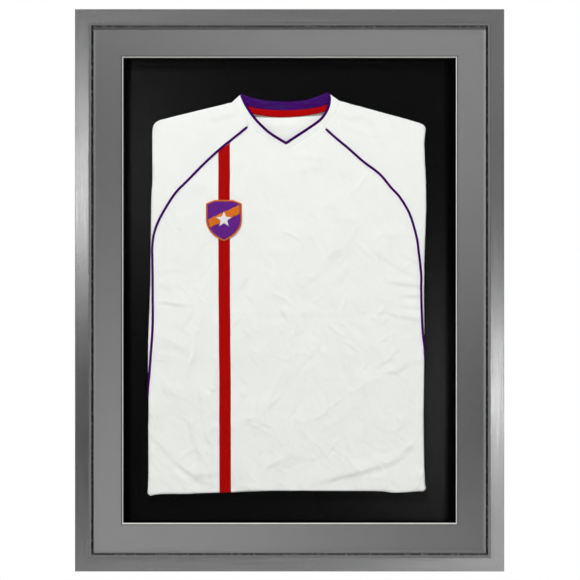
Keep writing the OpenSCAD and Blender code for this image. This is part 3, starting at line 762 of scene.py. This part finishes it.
def crumpled_sheet(frames=15, growth=0.004):
    """Simulates a pinned sheet that is slightly too large for its place, and returns its heights.

    The result is a grid of heights in millimetres, rows from the bottom up.
    """
    nx, nz = CRUMPLE_COUNT
    xs = (np.arange(nx) - (nx - 1) / 2) * CRUMPLE_STEP
    zs = (np.arange(nz) - (nz - 1) / 2) * CRUMPLE_STEP
    vertices = []
    for z in zs:
        for x in xs:
            broad = 0.6 * noise.noise(Vector((x / 26, z / 34, 4.2)))
            fine = 0.3 * noise.noise(Vector((x / 11, z / 12, 9.2)))
            vertices.append((x * MM, (broad + fine) * MM, z * MM))
    faces = []
    for j in range(nz - 1):
        for i in range(nx - 1):
            k = j * nx + i
            if (i + j) % 2:
                faces += [(k, k + 1, k + nx + 1), (k, k + nx + 1, k + nx)]
            else:
                faces += [(k, k + 1, k + nx), (k + 1, k + nx + 1, k + nx)]
    sheet = plain_object("crumple", vertices, faces)
    pinned = sheet.vertex_groups.new(name="pinned")
    border = [k for k in range(nx * nz) if k % nx in (0, nx - 1) or k // nx in (0, nz - 1)]
    pinned.add(border, 1.0, "REPLACE")
    cloth = sheet.modifiers.new("cloth", "CLOTH")
    how = cloth.settings
    how.quality = 5
    how.mass = 0.1
    how.tension_stiffness = 15
    how.compression_stiffness = 15
    how.shear_stiffness = 5
    how.bending_stiffness = 0.05
    how.shrink_min = -growth
    how.vertex_group_mass = "pinned"
    how.effector_weights.gravity = 0
    cloth.collision_settings.use_collision = False
    cloth.point_cache.frame_start = 1
    cloth.point_cache.frame_end = frames
    for frame_number in range(1, frames + 1):
        bpy.context.scene.frame_set(frame_number)
    shown = sheet.evaluated_get(bpy.context.evaluated_depsgraph_get())
    places = np.empty(len(shown.data.vertices) * 3)
    shown.data.vertices.foreach_get("co", places)
    mesh = sheet.data
    bpy.data.objects.remove(sheet)
    bpy.data.meshes.remove(mesh)
    bpy.context.scene.frame_set(1)
    return -places[1::3].reshape(nz, nx) / MM


CRUMPLE = crumpled_sheet()


def crumple(points):
    """The simulated heights at points, smoothed between the grid's rows."""
    nx, nz = CRUMPLE_COUNT
    total = np.zeros(len(points))
    shifts = [(-0.35, -0.35), (0.35, -0.35), (0.35, 0.35), (-0.35, 0.35)]
    for sx, sz in shifts:
        u = np.clip(points[:, 0] / CRUMPLE_STEP + (nx - 1) / 2 + sx, 0, nx - 1.001)
        v = np.clip(points[:, 1] / CRUMPLE_STEP + (nz - 1) / 2 + sz, 0, nz - 1.001)
        i, j = u.astype(int), v.astype(int)
        a, b = u - i, v - j
        low = CRUMPLE[j, i] * (1 - a) + CRUMPLE[j, i + 1] * a
        high = CRUMPLE[j + 1, i] * (1 - a) + CRUMPLE[j + 1, i + 1] * a
        total += (low * (1 - b) + high * b) / len(shifts)
    share = np.clip((200 - points[:, 1]) / 400, 0, 1) * 0.28 + 0.24
    return total * share


def billow(points):
    """Slow unevenness of the cloth, in millimetres."""
    out = np.zeros(len(points))
    for i, (x, z) in enumerate(points):
        slow = noise.noise(Vector((x / 95, z / 120, 3.1)))
        middle = noise.noise(Vector((x / 34, z / 42, 8.7)))
        fine = noise.noise(Vector((x / 13, z / 15, 21.3)))
        out[i] = 0.9 * slow + 0.42 * middle + 0.1 * fine
    return out


def cloth_height(points):
    """Height of the front cloth above its flat plane, in millimetres."""
    p = np.asarray(points, float)
    total = fold_height(p, FOLDS) + fold_height(p, CREASES) + billow(p) + crumple(p)
    return np.clip(total, -0.9, 3.6)


def surface(points, lift=0.0, laid_flat=False):
    """3D points in metres on the front cloth, raised by lift millimetres, and their normals."""
    flat = np.asarray(points, float) if laid_flat else unrolled(points)
    place, normal = rolled(flat)
    height = cloth_height(place[:, [0, 2]])
    fade = np.clip(-normal[:, 1], 0, 1) ** 0.5
    place = place + normal * (height * fade + lift)[:, None]
    return in_frame(place), normal


def in_frame(place):
    """Millimetres across, behind the cloth's front and up, as metres in the frame."""
    return np.c_[place[:, 0] * MM, CLOTH_FRONT + place[:, 1] * MM, place[:, 2] * MM]


# ---- Jersey pieces ----

def cut_share(line, point):
    """Share along a line at which it comes nearest to a point."""
    return nearest(np.array([point], float), line)[2][0]


def part_of(line, start, end, step=3.0):
    """The part of a line between two shares of its length."""
    run = np.r_[0, np.cumsum(np.hypot(*np.diff(line, axis=0).T))]
    at = np.linspace(start, end, max(2, int(abs(end - start) * run[-1] / step) + 1)) * run[-1]
    return np.c_[np.interp(at, run, line[:, 0]), np.interp(at, run, line[:, 1])]


def outward(point, arc):
    """A point laid flat at an arc's length outside the inner line, next to the given point."""
    _, q, _, _ = nearest(np.array([point], float), INNER)
    i = int(np.argmin(np.hypot(*(INNER - q[0]).T)))
    return q[0] + normals(INNER)[i] * arc


def make_body_cloth():
    """Front and both sleeves, cut along the raglan seams from one rolled and wrinkled sheet."""
    arc = ROLL * ROLL_END
    seam = joined(spline(SEAM_LEFT), spline(SEAM_RIGHT))
    seam_flat = unrolled(seam)
    start, end = cut_share(INNER, seam[0]), cut_share(INNER, seam[-1])
    hem = part_of(INNER, start, end)
    hem = hem + normals(hem) * arc
    region = joined(hem, seam_flat[::-1])
    raglans = []
    for points in (RAGLAN_LEFT, RAGLAN_RIGHT):
        line = unrolled(spline(points))
        line[0] = seam_flat[int(np.argmin(np.hypot(*(seam_flat - line[0]).T)))]
        tip = outward(line[-1] + np.array([0, -26.0]), arc)
        raglans.append(joined(line, resampled([line[-1], tip], 3.0)))
    points, triangles = triangulated(region, 2.6, raglans, 5)
    middle = points[triangles].mean(1)
    outer = {}
    for line, name in zip(raglans, ("jersey_sleeve_left", "jersey_sleeve_right")):
        away = -400 if name.endswith("left") else 400
        outer[name] = inside(middle, np.vstack([line, [(away, line[-1][1]), (away, 400), (line[0][0], 400)]]))
    front, normal = surface(points, 0.0, True)
    back = front + normal * (-0.8 * MM)
    front_part = ~(outer["jersey_sleeve_left"] | outer["jersey_sleeve_right"])
    made = {}
    parts = [("jersey_front", front_part)] + list(outer.items())
    for name, chosen in parts:
        shell = closed_sheet(front, back, triangles[chosen])
        if name != "jersey_front":
            shell = merged(shell, folded_flap(-1 if name.endswith("left") else 1))
        made[name] = placed(name + "_cloth", shell, "white_knit", name)
    return made


def folded_flap(side):
    """The rest of a sleeve, folded flat behind the body."""
    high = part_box("jersey_sleeve_left" if side < 0 else "jersey_sleeve_right")[1]
    middle_x = -4.0
    corners = np.array([(203, 232), (203, 34), (190, -2), (121, -66), (113, -66), (32, 26), (32, 33),
                        (104, 250), (112, 253), (180, 246)], float)
    corners[:, 0] = middle_x + side * corners[:, 0]
    if side > 0:
        corners = corners[::-1]
    outline = resampled(np.vstack([corners, corners[:1]]), 6.0)[:-1]
    if signed_area(outline) < 0:
        outline = outline[::-1]
    points, triangles = triangulated(outline, 7.0, (), 9)
    d = nearest(points, np.vstack([outline, outline[:1]]))[0]
    rounding = np.sqrt(1 - (1 - np.clip(d / 1.9, 0, 1)) ** 2)
    depth_mid = (high.y - 0.002) / MM
    ripple = np.array([0.35 * noise.noise(Vector((x / 22, z / 30, 5.5))) for x, z in points])
    front = np.c_[points[:, 0], depth_mid - 1.8 * rounding + ripple * 0.5, points[:, 1]] * MM
    back = np.c_[points[:, 0], depth_mid + 1.7 * rounding, points[:, 1]] * MM
    return closed_sheet(front, back, triangles)


def signed_area(polygon):
    x, y = polygon.T
    return 0.5 * np.sum(x * np.roll(y, -1) - y * np.roll(x, -1))


def make_back_panel():
    """The back of the jersey, whose inside shows in the neck."""
    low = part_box("jersey_back")[0]
    inset = 2.0
    edge = ROUND_THE_BODY - inset * normals(ROUND_THE_BODY)
    keep = part_of(edge, 0.02, 0.98, 5.0)
    neck = spline([(58, 281), (38, 273.5), (12, 271), (-20, 271), (-50, 274), (-66, 278)], 4.0)
    neck = joined(spline([keep[-1], (58, 281)], 4.0), neck, spline([(-66, 278), keep[0]], 4.0))
    region = joined(keep, neck)[:-1]
    points, triangles = triangulated(region, 6.0, (), 3)
    folds = [
        ([(-40, 262), (-20, 255), (6, 256), (28, 262)], 0.8, 7, 4),
        ([(-36, 250), (-12, 244), (14, 250)], 0.7, 5, 3),
        ([(-26, 238), (-6, 231), (8, 236)], 0.5, 5, 3),
        ([(20, 254), (34, 250), (44, 256)], 0.5, 4, 3),
    ]
    ripple = np.clip(fold_height(points, folds), -0.4, 0.9)
    slow = np.array([0.35 * noise.noise(Vector((x / 60, z / 60, 1.7))) for x, z in points])
    below_tape = np.clip((259 - points[:, 1]) / 8, 0, 1)
    forward = 2.4 * below_tape * np.exp(-(np.hypot(points[:, 0] + 5, points[:, 1] - 250) / 48) ** 4)
    depth = low.y / MM + 0.45 - ripple * 0.6 + slow - forward
    front = np.c_[points[:, 0], depth, points[:, 1]] * MM
    back = front + np.array([0, 0.7 * MM, 0])
    shell = closed_sheet(front, back, triangles)
    return placed("jersey_back_cloth", shell, "white_knit", "jersey_back")


def towards_viewer(places, triangles):
    """The triangles turned over if they face away from the front."""
    corner = places[triangles]
    facing = np.cross(corner[:, 1] - corner[:, 0], corner[:, 2] - corner[:, 0])[:, 1]
    return triangles[:, ::-1] if facing.mean() > 0 else triangles


def strip(inner_line, outer_line, depth_at, rows=9, thickness=0.9):
    """A band between two lines, with its depth given by a function of the shares along and across."""
    count = max(len(inner_line), len(outer_line))
    a = resample_to(inner_line, count)
    b = resample_to(outer_line, count)
    grid = []
    for j in range(rows):
        t = j / (rows - 1)
        line = a * (1 - t) + b * t
        s = np.linspace(0, 1, count)
        grid.append(np.c_[line[:, 0], depth_at(line, s, t), line[:, 1]])
    grid = np.array(grid)
    front = grid.reshape(-1, 3) * MM
    faces = []
    for j in range(rows - 1):
        for i in range(count - 1):
            k = j * count + i
            faces.append((k, k + 1, k + count + 1, k + count))
    tri = np.array([(f[0], f[1], f[2]) for f in faces] + [(f[0], f[2], f[3]) for f in faces])
    back = front + np.array([0, thickness * MM, 0])
    return closed_sheet(front, back, towards_viewer(front, tri))


def resample_to(line, count):
    run = np.r_[0, np.cumsum(np.hypot(*np.diff(line, axis=0).T))]
    at = np.linspace(0, run[-1], count)
    return np.c_[np.interp(at, run, line[:, 0]), np.interp(at, run, line[:, 1])]


def neck_depth(line):
    """Depth in millimetres of the front neck line: it turns back towards the shoulders."""
    base = CLOTH_FRONT / MM
    rise = np.clip((line[:, 1] - 262) / 34, 0, 1)
    return base + 4.2 * rise ** 2


def make_collar():
    """Front band with its piping, the purple band at the back of the neck, and the red tape."""
    neck = joined(spline(NECK_LEFT, 1.6), spline(NECK_RIGHT, 1.6))
    left = (resample_to(spline(NECK_LEFT, 1.6), 70), resample_to(spline(SEAM_LEFT, 1.6), 70))
    right = (resample_to(spline(NECK_RIGHT, 1.6), 80), resample_to(spline(SEAM_RIGHT, 1.6), 80))
    inner = joined(left[0], right[0])
    outer = joined(left[1], right[1])
    outer = outer + 1.6 * normals(outer)

    def band_depth(line, s, t):
        crown = 0.75 * min(1.0, 5 * t) * (1 - t) - 0.35 * t ** 6
        ribs = np.array([0.12 * noise.noise(Vector((x / 6, z / 6, 2.0))) for x, z in line])
        lie = cloth_height(line) * min(1.0, t * 1.6)
        ribs = ribs * min(1.0, 4 - 4 * t)
        return neck_depth(line) - 0.06 - crown - ribs - np.clip(lie, -0.9, 1.0)

    shell = strip(inner, outer, band_depth, 9, 0.9)
    band = placed("collar_band_front_cloth", shell, "white_rib", "collar_band_front")

    depth = neck_depth(neck)
    centres = np.c_[neck[:, 0], depth - 0.85, neck[:, 1]] * MM
    shell = cord_along(centres, None, 4.0 * MM, 2.4 * MM)
    placed("neck_piping_cord", shell, "purple_cord", "neck_piping")

    low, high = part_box("collar_band_back")
    mid = (low.y + high.y) / 2 / MM
    top = spline([(-73.5, 297), (-63, 292.8), (-51, 289.3), (-33, 286.3), (-12, 285.2), (6.5, 285.4),
                  (27, 288), (44, 293.5), (58.5, 299)], 2.0)
    bottom = spline([(-66, 279), (-48, 274.5), (-22, 271.8), (6.5, 271.8), (36, 275), (59, 281)], 2.0)

    def back_depth(line, s, t):
        ends = np.abs(2 * s - 1) ** 3
        curl = -1.4 * math.sin(math.pi * (0.15 + 0.75 * t))
        return mid - 0.2 + curl - 4.6 * ends

    shell = strip(top, bottom, back_depth, 10, 1.3)
    collar = placed("collar_band_back_cloth", shell, "purple_rib", "collar_band_back")

    tape_top = spline([(-63, 278), (-40, 274), (-16, 272.2), (8, 272.4), (34, 275.4), (57, 280.5)], 2.0)
    tape_low = spline([(-56, 266.5), (-40, 263.4), (-24, 261.6), (-4, 261.4), (24, 263.6), (44, 267.2),
                       (54, 270)], 2.0)
    tape_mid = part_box("neck_tape")[0].y / MM

    def tape_depth(line, s, t):
        ends = np.abs(2 * s - 1) ** 3
        return tape_mid - 0.35 * math.sin(math.pi * t) - 3.4 * ends

    shell = strip(tape_top, tape_low, tape_depth, 7, 0.6)
    tape = placed("neck_tape_cloth", shell, "red_tape", "neck_tape")
    return band, collar, tape


def cord_along(centres, upward, width, height, around=12):
    """A closed oval cord along 3D points, with its height along upward (towards the front if None)."""
    c = np.asarray(centres, float)
    if upward is None:
        upward = np.tile([0.0, -1.0, 0.0], (len(c), 1))
    tangent = np.gradient(c, axis=0)
    tangent /= np.linalg.norm(tangent, axis=1)[:, None]
    sideways = np.cross(tangent, upward)
    sideways /= np.linalg.norm(sideways, axis=1)[:, None]
    up = np.cross(sideways, tangent)
    return tube_shell(c, sideways, up, width, height, around)


def make_raglan_piping():
    """The piping that is sewn along both raglan seams and round the shirt's sides."""
    for points, name in ((RAGLAN_LEFT, "raglan_piping_left"), (RAGLAN_RIGHT, "raglan_piping_right")):
        line = unrolled(spline(points[1:], 1.5))
        tip = outward(line[-1] + np.array([0, -26.0]), ROLL * ROLL_END * 0.9)
        line = joined(line, spline([line[-1], (line[-1] + tip) / 2, tip], 1.5))
        place, normal = surface(line, 0.45, True)
        shell = cord_along(place, normal, 3.6 * MM, 2.3 * MM)
        placed(name + "_cord", shell, "purple_cord", name)


def make_stripe():
    """The red vertical stripe, from the raglan seam down round the hem."""
    centre = spline([(-98.6, 216), (-98.9, 150), (-98.6, 60), (-98.2, -40), (-97.6, -140), (-97.2, -230),
                     (-97, -300.4)], 3.0)
    rows = []
    half = 8.7
    for x, z in centre:
        wobble = 0.35 * noise.noise(Vector((z / 31, 4.4, 0)))
        rows.append([(x - half + wobble, z), (x + half + wobble, z)])
    rows = np.array(rows)
    slant = np.array([-6.2, 6.2])
    for k in range(6):
        rows[k, :, 1] += slant * (1 - k / 6)
    left, right = rows[:, 0], rows[:, 1]
    left = np.vstack([unrolled(left)] + [outward(left[-1], arc) for arc in range(1, 9)])
    right = np.vstack([unrolled(right)] + [outward(right[-1], arc) for arc in range(1, 9)])
    across = 7
    count = len(left)
    grid = np.vstack([left * (1 - j / (across - 1)) + right * j / (across - 1) for j in range(across)])
    crown = np.repeat([0.3, 0.42, 0.45, 0.45, 0.45, 0.42, 0.3], count)
    place, normal = rolled(grid)
    height = cloth_height(place[:, [0, 2]])
    fade = np.clip(-normal[:, 1], 0, 1) ** 0.5
    front = in_frame(place + normal * (height * fade + crown)[:, None])
    back = in_frame(place + normal * (height * fade + 0.02)[:, None])
    tri = []
    for j in range(across - 1):
        for i in range(count - 1):
            k = j * count + i
            tri += [(k, k + count, k + count + 1), (k, k + count + 1, k + 1)]
    shell = closed_sheet(front, back, towards_viewer(front, np.array(tri)))
    return placed("chest_stripe_cloth", shell, "red_knit", "chest_stripe")


def shield(half_w, half_h, middle, step=1.5):
    """A shield with a flat top: its outline, anticlockwise."""
    side = [(0, -1), (0.3, -0.86), (0.62, -0.66), (0.88, -0.36), (1, -0.02), (1, 0.5), (1, 0.84)]
    right = spline([(x * half_w, z * half_h) for x, z in side], step)
    top = resampled([(half_w, 0.84 * half_h), (half_w * 0.52, half_h), (-half_w * 0.52, half_h),
                     (-half_w, 0.84 * half_h)], step)
    left = right[::-1] * [-1, 1]
    return joined(right, top, left)[:-1] + middle


def crest_ground(points):
    """Height under the stiff crest, which smooths the cloth's unevenness."""
    level = 0.35 * cloth_height(points) + 0.65 * cloth_height(CREST_MIDDLE[None])[0]
    return np.maximum(level, cloth_height(points) * 0.8)


def on_crest(points, lift):
    """3D points at heights above the crest's ground, in metres."""
    return in_frame(np.c_[points[:, 0], -(crest_ground(points) + lift), points[:, 1]])


def rounded(points, outline, reach):
    """0 at a closed outline rising to 1 at reach millimetres inside it, as a rounded edge does."""
    d = nearest(points, np.vstack([outline, outline[:1]]))[0]
    return np.sqrt(1 - (1 - np.clip(d / reach, 0, 1)) ** 2)


CREST_MIDDLE = np.array([-99.0, 105.0])


def make_crest():
    """An embroidered shield with a rope border, a slanting band and a star."""
    half_w, half_h = 26.0, 30.0
    outline = shield(half_w, half_h, CREST_MIDDLE)
    points, triangles = triangulated(outline, 1.9, (), 4)
    front = on_crest(points, 0.55 + 0.8 * (0.55 + 0.45 * rounded(points, outline, 1.5)))
    shell = closed_sheet(front, on_crest(points, 0.55), triangles)
    patch = placed("crest_patch_cloth", shell, "purple_stitch", "crest_patch")

    points, triangles = triangulated(shield(half_w - 2.2, half_h - 2.2, CREST_MIDDLE), 1.9, (), 6)
    band = np.array([(-26, -13), (26, 11), (26, 25), (-26, 1)], float) + CREST_MIDDLE
    chosen = triangles[inside(points[triangles].mean(1), band)]
    shell = closed_sheet(on_crest(points, 1.62), on_crest(points, 1.3), chosen)
    placed("crest_sash", shell, "orange_stitch")

    rim = spline(resampled(np.vstack([outline, outline[:1]]), 1.2), 1.0)
    shell = cord_along(on_crest(rim, 1.0), None, 2.3 * MM, 1.5 * MM, 10)
    placed("crest_border", shell, "orange_stitch")

    tips = []
    for i in range(10):
        r = 12.5 if i % 2 == 0 else 5.4
        a = math.radians(90 + 36 * i)
        tips.append(CREST_MIDDLE + np.array([r * math.cos(a), r * math.sin(a) + 1.5]))
    star_line = resampled(np.vstack([tips, tips[:1]]), 1.2)[:-1]
    points, triangles = triangulated(star_line, 1.6, (), 8)
    high = on_crest(points, 1.8 + 0.5 * rounded(points, star_line, 2.6))
    shell = closed_sheet(high, on_crest(points, 1.35), triangles)
    placed("crest_star_stitch", shell, "white_stitch", "crest_star")
    return patch


def stitch_row(line, pitch, length, lift, radius):
    """Small thread stitches along a line on the front cloth."""
    line = resampled(line, pitch)
    if len(line) < 3:
        return []
    shells = []
    way = np.gradient(line, axis=0)
    way /= np.hypot(*way.T)[:, None]
    starts = line - way * length / 2
    ends = line + way * length / 2
    stack = np.vstack([starts, line, ends])
    place, normal = surface(stack, lift)
    n = len(line)
    for i in range(n):
        a, m, b = place[i], place[n + i], place[2 * n + i]
        up = normal[n + i]
        points = np.array([a - up * radius * 0.9, m, b - up * radius * 0.9])
        path = np.array([points[0], (points[0] + points[1] * 2) / 3 + up * radius * 0.1, points[1],
                         (points[2] + points[1] * 2) / 3 + up * radius * 0.1, points[2]])
        shells.append(cord_along(path, np.tile(up, (5, 1)), 2 * radius, 2 * radius, 6))
    return shells


def make_stitching():
    """Rows of stitches beside the seams, along the hem and down both edges of the stripe."""
    def beside(points, offset, start=0.0, end=1.0):
        line = spline(points, 3.0)
        line = line + normals(line) * offset
        return part_of(line, start, end)

    rows = {
        "stitching_collar": [
            (beside(SEAM_LEFT, 1.6, 0.1, 1.0), 3.4, 2.4),
            (beside(SEAM_RIGHT, 1.6, 0.0, 0.9), 3.4, 2.4),
        ],
        "stitching_raglan": [
            (beside(RAGLAN_LEFT, -3.4, 0.02, 0.56), 3.4, 2.4),
            (beside(RAGLAN_RIGHT, 3.4, 0.02, 0.6), 3.4, 2.4),
        ],
        "stitching_hem": [
            (part_of(spline(HEM, 3.0), 0.03, 0.97) + [0, 19.0], 3.6, 2.6),
            (part_of(spline(HEM, 3.0), 0.03, 0.97) + [0, 15.5], 3.6, 2.6),
        ],
    }
    for name, lines in rows.items():
        shells = []
        for line, pitch, length in lines:
            shells += stitch_row(line, pitch, length, 0.12, 0.22 * MM)
        placed(name, merged(*shells), "white_thread")


# ---- Finishes of the frame's own nodes ----

def give(names, material):
    for name in names:
        obj = NODES[name]
        if not obj.data.materials:
            obj.data.materials.append(material)
        for slot in obj.material_slots:
            slot.material = material


def named(start):
    return [name for name in NODES if name.startswith(start)]


def finish_frame():
    give(["rail_left", "rail_right"], brushed_metal("aluminium_upright", ALUMINIUM, "Z", 0.195))
    give(["rail_top", "rail_bottom"], brushed_metal("aluminium_across", ALUMINIUM, "X", 0.195))
    give(named("corner_bracket"), plain_steel("bracket_steel", (0.5, 0.5, 0.51), 0.4))
    give(["corner_set_screws"], plain_steel("black_oxide", (0.05, 0.05, 0.055), 0.45))
    dark_strip = rubber("gasket_rubber", grey(0.001), 0.0026, 0.0012, 0.14, 0.5)
    # Painted light: the top and bottom strips of the same black gasket are coloured lighter than the sides
    lit_gasket_strip = rubber("gasket_rubber_painted_light", grey(0.05), 0.0026, 0.0012, 0.2, 0.5)
    give(["gasket_left", "gasket_right"], dark_strip)
    give(["gasket_top", "gasket_bottom"], lit_gasket_strip)
    give(["wall_bumpers"], rubber("bumper_rubber", grey(0.02), 0.0009, 0.0002, 0.01))
    give(["glazing_sheet"], glazing())
    give(["mount_board"], mount_card())
    board = black_board()
    give(named("spacer") + ["inset_board"], board)
    give(["back_board"], fibre_board())
    give(named("turn_button_") + named("hanger_") + ["mounting_pins"],
         plain_steel("zinc_plate", (0.72, 0.72, 0.7), 0.33))
    white = Finish("former_board", Roughness=0.8, Specular_IOR_Level=0.2)
    tooth = white.noise(0.001, 3)
    white.color(white.mix(tooth, (0.8, 0.8, 0.77), (0.87, 0.87, 0.85)))
    white.bump(tooth, 0.2, 0.0001)
    give(["shirt_former"], white.material)


# ---- Camera, light and surroundings ----

EYE_DISTANCE = 4.0
VIEW_WIDTH = 0.8716
SENSOR = 36.0


def make_camera():
    data = bpy.data.cameras.new("camera")
    data.sensor_width = SENSOR
    data.lens = SENSOR * EYE_DISTANCE / VIEW_WIDTH
    data.clip_end = 60
    camera = bpy.data.objects.new("camera", data)
    bpy.context.scene.collection.objects.link(camera)
    camera.location = (0.0006, CAD_BOX[0].y - EYE_DISTANCE, 0.0005)
    camera.rotation_euler = (math.radians(90), 0, 0)
    bpy.context.scene.camera = camera


def area_light(name, place, aim, size, power, glossy=True):
    data = bpy.data.lights.new(name, "AREA")
    data.shape = "RECTANGLE"
    data.size, data.size_y = size
    data.energy = power
    light = bpy.data.objects.new(name, data)
    bpy.context.scene.collection.objects.link(light)
    light.location = place
    direction = Vector(aim) - Vector(place)
    light.rotation_euler = direction.to_track_quat("-Z", "Y").to_euler()
    light.visible_camera = False
    light.visible_glossy = glossy
    return light


def make_world():
    """White seen behind the object; a dim grey room for light and reflections."""
    world = bpy.data.worlds.new("studio")
    bpy.context.scene.world = world
    world.use_nodes = True
    tree = world.node_tree
    tree.nodes.clear()
    out = tree.nodes.new("ShaderNodeOutputWorld")
    mixed = tree.nodes.new("ShaderNodeMixShader")
    path = tree.nodes.new("ShaderNodeLightPath")
    room = tree.nodes.new("ShaderNodeBackground")
    white = tree.nodes.new("ShaderNodeBackground")
    room.inputs["Color"].default_value = (1, 1, 1, 1)
    way = tree.nodes.new("ShaderNodeTexCoord").outputs["Generated"]
    split = tree.nodes.new("ShaderNodeSeparateXYZ")
    tree.links.new(way, split.inputs[0])
    ahead = tree.nodes.new("ShaderNodeMath")
    ahead.operation = "ABSOLUTE"
    tree.links.new(split.outputs["Y"], ahead.inputs[0])
    level = tree.nodes.new("ShaderNodeFloatCurve")
    curve = level.mapping.curves[0]
    curve.points[0].location = (0.0, ROOM_SIDE)
    curve.points[1].location = (1.0, ROOM_FRONT)
    for ahead_share, strength in ROOM_LEVELS:
        curve.points.new(ahead_share, strength)
    level.mapping.update()
    tree.links.new(ahead.outputs[0], level.inputs["Value"])
    tree.links.new(level.outputs[0], room.inputs["Strength"])
    white.inputs["Color"].default_value = (1, 1, 1, 1)
    white.inputs["Strength"].default_value = 1.0
    tree.links.new(path.outputs["Is Camera Ray"], mixed.inputs[0])
    tree.links.new(room.outputs[0], mixed.inputs[1])
    tree.links.new(white.outputs[0], mixed.inputs[2])
    tree.links.new(mixed.outputs[0], out.inputs["Surface"])


def disc(name, radius, rings, z):
    """A flat round mesh, lowest level of the surroundings."""
    vertices = [(0, 0, z)]
    faces = []
    around = 64
    for r in range(1, rings + 1):
        for k in range(around):
            a = 2 * math.pi * k / around
            vertices.append((radius * r / rings * math.cos(a), radius * r / rings * math.sin(a), z))
    for k in range(around):
        faces.append((0, 1 + k, 1 + (k + 1) % around))
    for r in range(1, rings):
        for k in range(around):
            a, b = 1 + (r - 1) * around + k, 1 + (r - 1) * around + (k + 1) % around
            faces.append((a, a + around, b + around, b))
    obj = plain_object(name, vertices, faces)
    return obj


def make_floor():
    """A pale floor that fades to the white of the background."""
    floor = disc("floor", 9.0, 12, FLOOR_Z)
    f = Finish("floor_paint", Roughness=0.8, Specular_IOR_Level=0.1)
    f.color(f.mix(f.noise(0.6, 2), (0.82, 0.82, 0.81), (0.86, 0.86, 0.85)))
    far = f.node("ShaderNodeVectorMath", {0: f.place}, operation="LENGTH").outputs["Value"]
    fade = f.mapped(far, 0.7, 1.5)
    fade = f.math("MULTIPLY", fade, f.node("ShaderNodeLightPath").outputs["Is Camera Ray"])
    glow = f.node("ShaderNodeEmission", {"Color": (1, 1, 1, 1), "Strength": 1.0})
    both = f.node("ShaderNodeMixShader", {0: fade, 1: f.shader.outputs[0], 2: glow.outputs[0]})
    f.link(both.outputs[0], f.output.inputs["Surface"])
    floor.data.materials.append(f.material)
    floor.visible_glossy = False


def make_reflector(name, place, size, spots):
    """A panel behind the camera whose soft spots show as the sheen on the rails."""
    half_x, half_z = size
    y = place[1]
    corners = [(-half_x, y, -half_z), (half_x, y, -half_z), (half_x, y, half_z), (-half_x, y, half_z)]
    panel = plain_object(name, corners, [(0, 1, 2, 3)])
    f = Finish(name + "_light")
    f.tree.nodes.remove(f.shader)
    total = f.tones(f.axis("X"), f.axis("Z"), spots, PANEL_GLOW)
    glow = f.node("ShaderNodeEmission", {"Color": (1, 1, 1, 1), "Strength": total})
    f.link(glow.outputs[0], f.output.inputs["Surface"])
    panel.data.materials.append(f.material)
    panel.visible_camera = False
    panel.visible_shadow = False
    panel.visible_diffuse = False


PANEL_GLOW = 0.058
ROOM_SIDE = 0.14
ROOM_LEVELS = [(0.3, 0.17), (0.48, 0.32), (0.64, 0.3), (0.8, 0.17)]
ROOM_FRONT = 0.13
FLOOR_Z = -0.62


def make_lights():
    area_light("key", (-0.35, -2.2, 2.5), (0, 0, 0.05), (1.2, 0.7), 95, glossy=False)
    area_light("fill", (0.6, -3.2, 0.2), (0, 0, 0), (1.6, 1.6), 4, glossy=False)
    area_light("back_key", (1.6, 2.6, 2.0), (0, 0, 0), (1.6, 1.2), 70)
    area_light("back_fill", (-2.0, 2.4, 0.2), (0, 0, 0), (1.4, 1.4), 25)
    make_reflector("reflector", (0, CAD_BOX[0].y - EYE_DISTANCE - 0.3), (3.0, 2.4), [
        ((-0.67, 0.33), 0.12, 0.17, 6.8),
        ((0.65, -0.3), 0.12, 0.14, 7.6),
        ((0.94, -0.95), 0.5, 0.33, 0.96),
        ((0.34, 0.88), 1.59, 0.56, 0.26),
        ((-0.39, -1.08), 0.76, 0.24, 0.72),
    ])


# ---- Everything in order ----

make_camera()
make_world()
make_floor()
make_lights()
finish_frame()

FINISHES = {
    "white_knit": knit("white_knit", WHITE, WHITE_SHADE, creased=0.004),
    "white_rib": ribbed("white_rib", WHITE, WHITE_SHADE, "X", 0.0022, 0.0002),
    "white_thread": embroidery("white_thread", (0.92, 0.93, 0.9), (0.74, 0.76, 0.73), 0.6),
    "white_stitch": embroidery("white_stitch", (0.93, 0.93, 0.92), (0.7, 0.7, 0.72), 0.0),
    "purple_rib": ribbed("purple_rib", (0.06, 0.001, 0.15), (0.036, 0.0008, 0.09), "Z", 0.0018, 0.0003,
                         (0.02, 0.03, 0.15)),
    "purple_cord": cord_cloth("purple_cord", PURPLE_CORD, PURPLE_CORD_DARK),
    "purple_stitch": embroidery("purple_stitch", (0.16, 0.02, 0.3), (0.08, 0.008, 0.17), 1.2),
    "red_knit": knit("red_knit", RED, RED_DARK, sheen=0.02),
    "red_tape": knit("red_tape", (0.47, 0.002, 0.002), (0.3, 0.001, 0.001), 0.0008, 0.0014, 0.0002, 0.02),
    "orange_stitch": embroidery("orange_stitch", ORANGE, (0.55, 0.11, 0.01), 0.5),
}


CLOTH = make_body_cloth()
BACK_PANEL = make_back_panel()
COLLAR_BAND, BACK_BAND, NECK_TAPE = make_collar()
make_raglan_piping()
STRIPE = make_stripe()
CREST = make_crest()
make_stitching()

bpy.context.scene.view_settings.view_transform = "Standard"
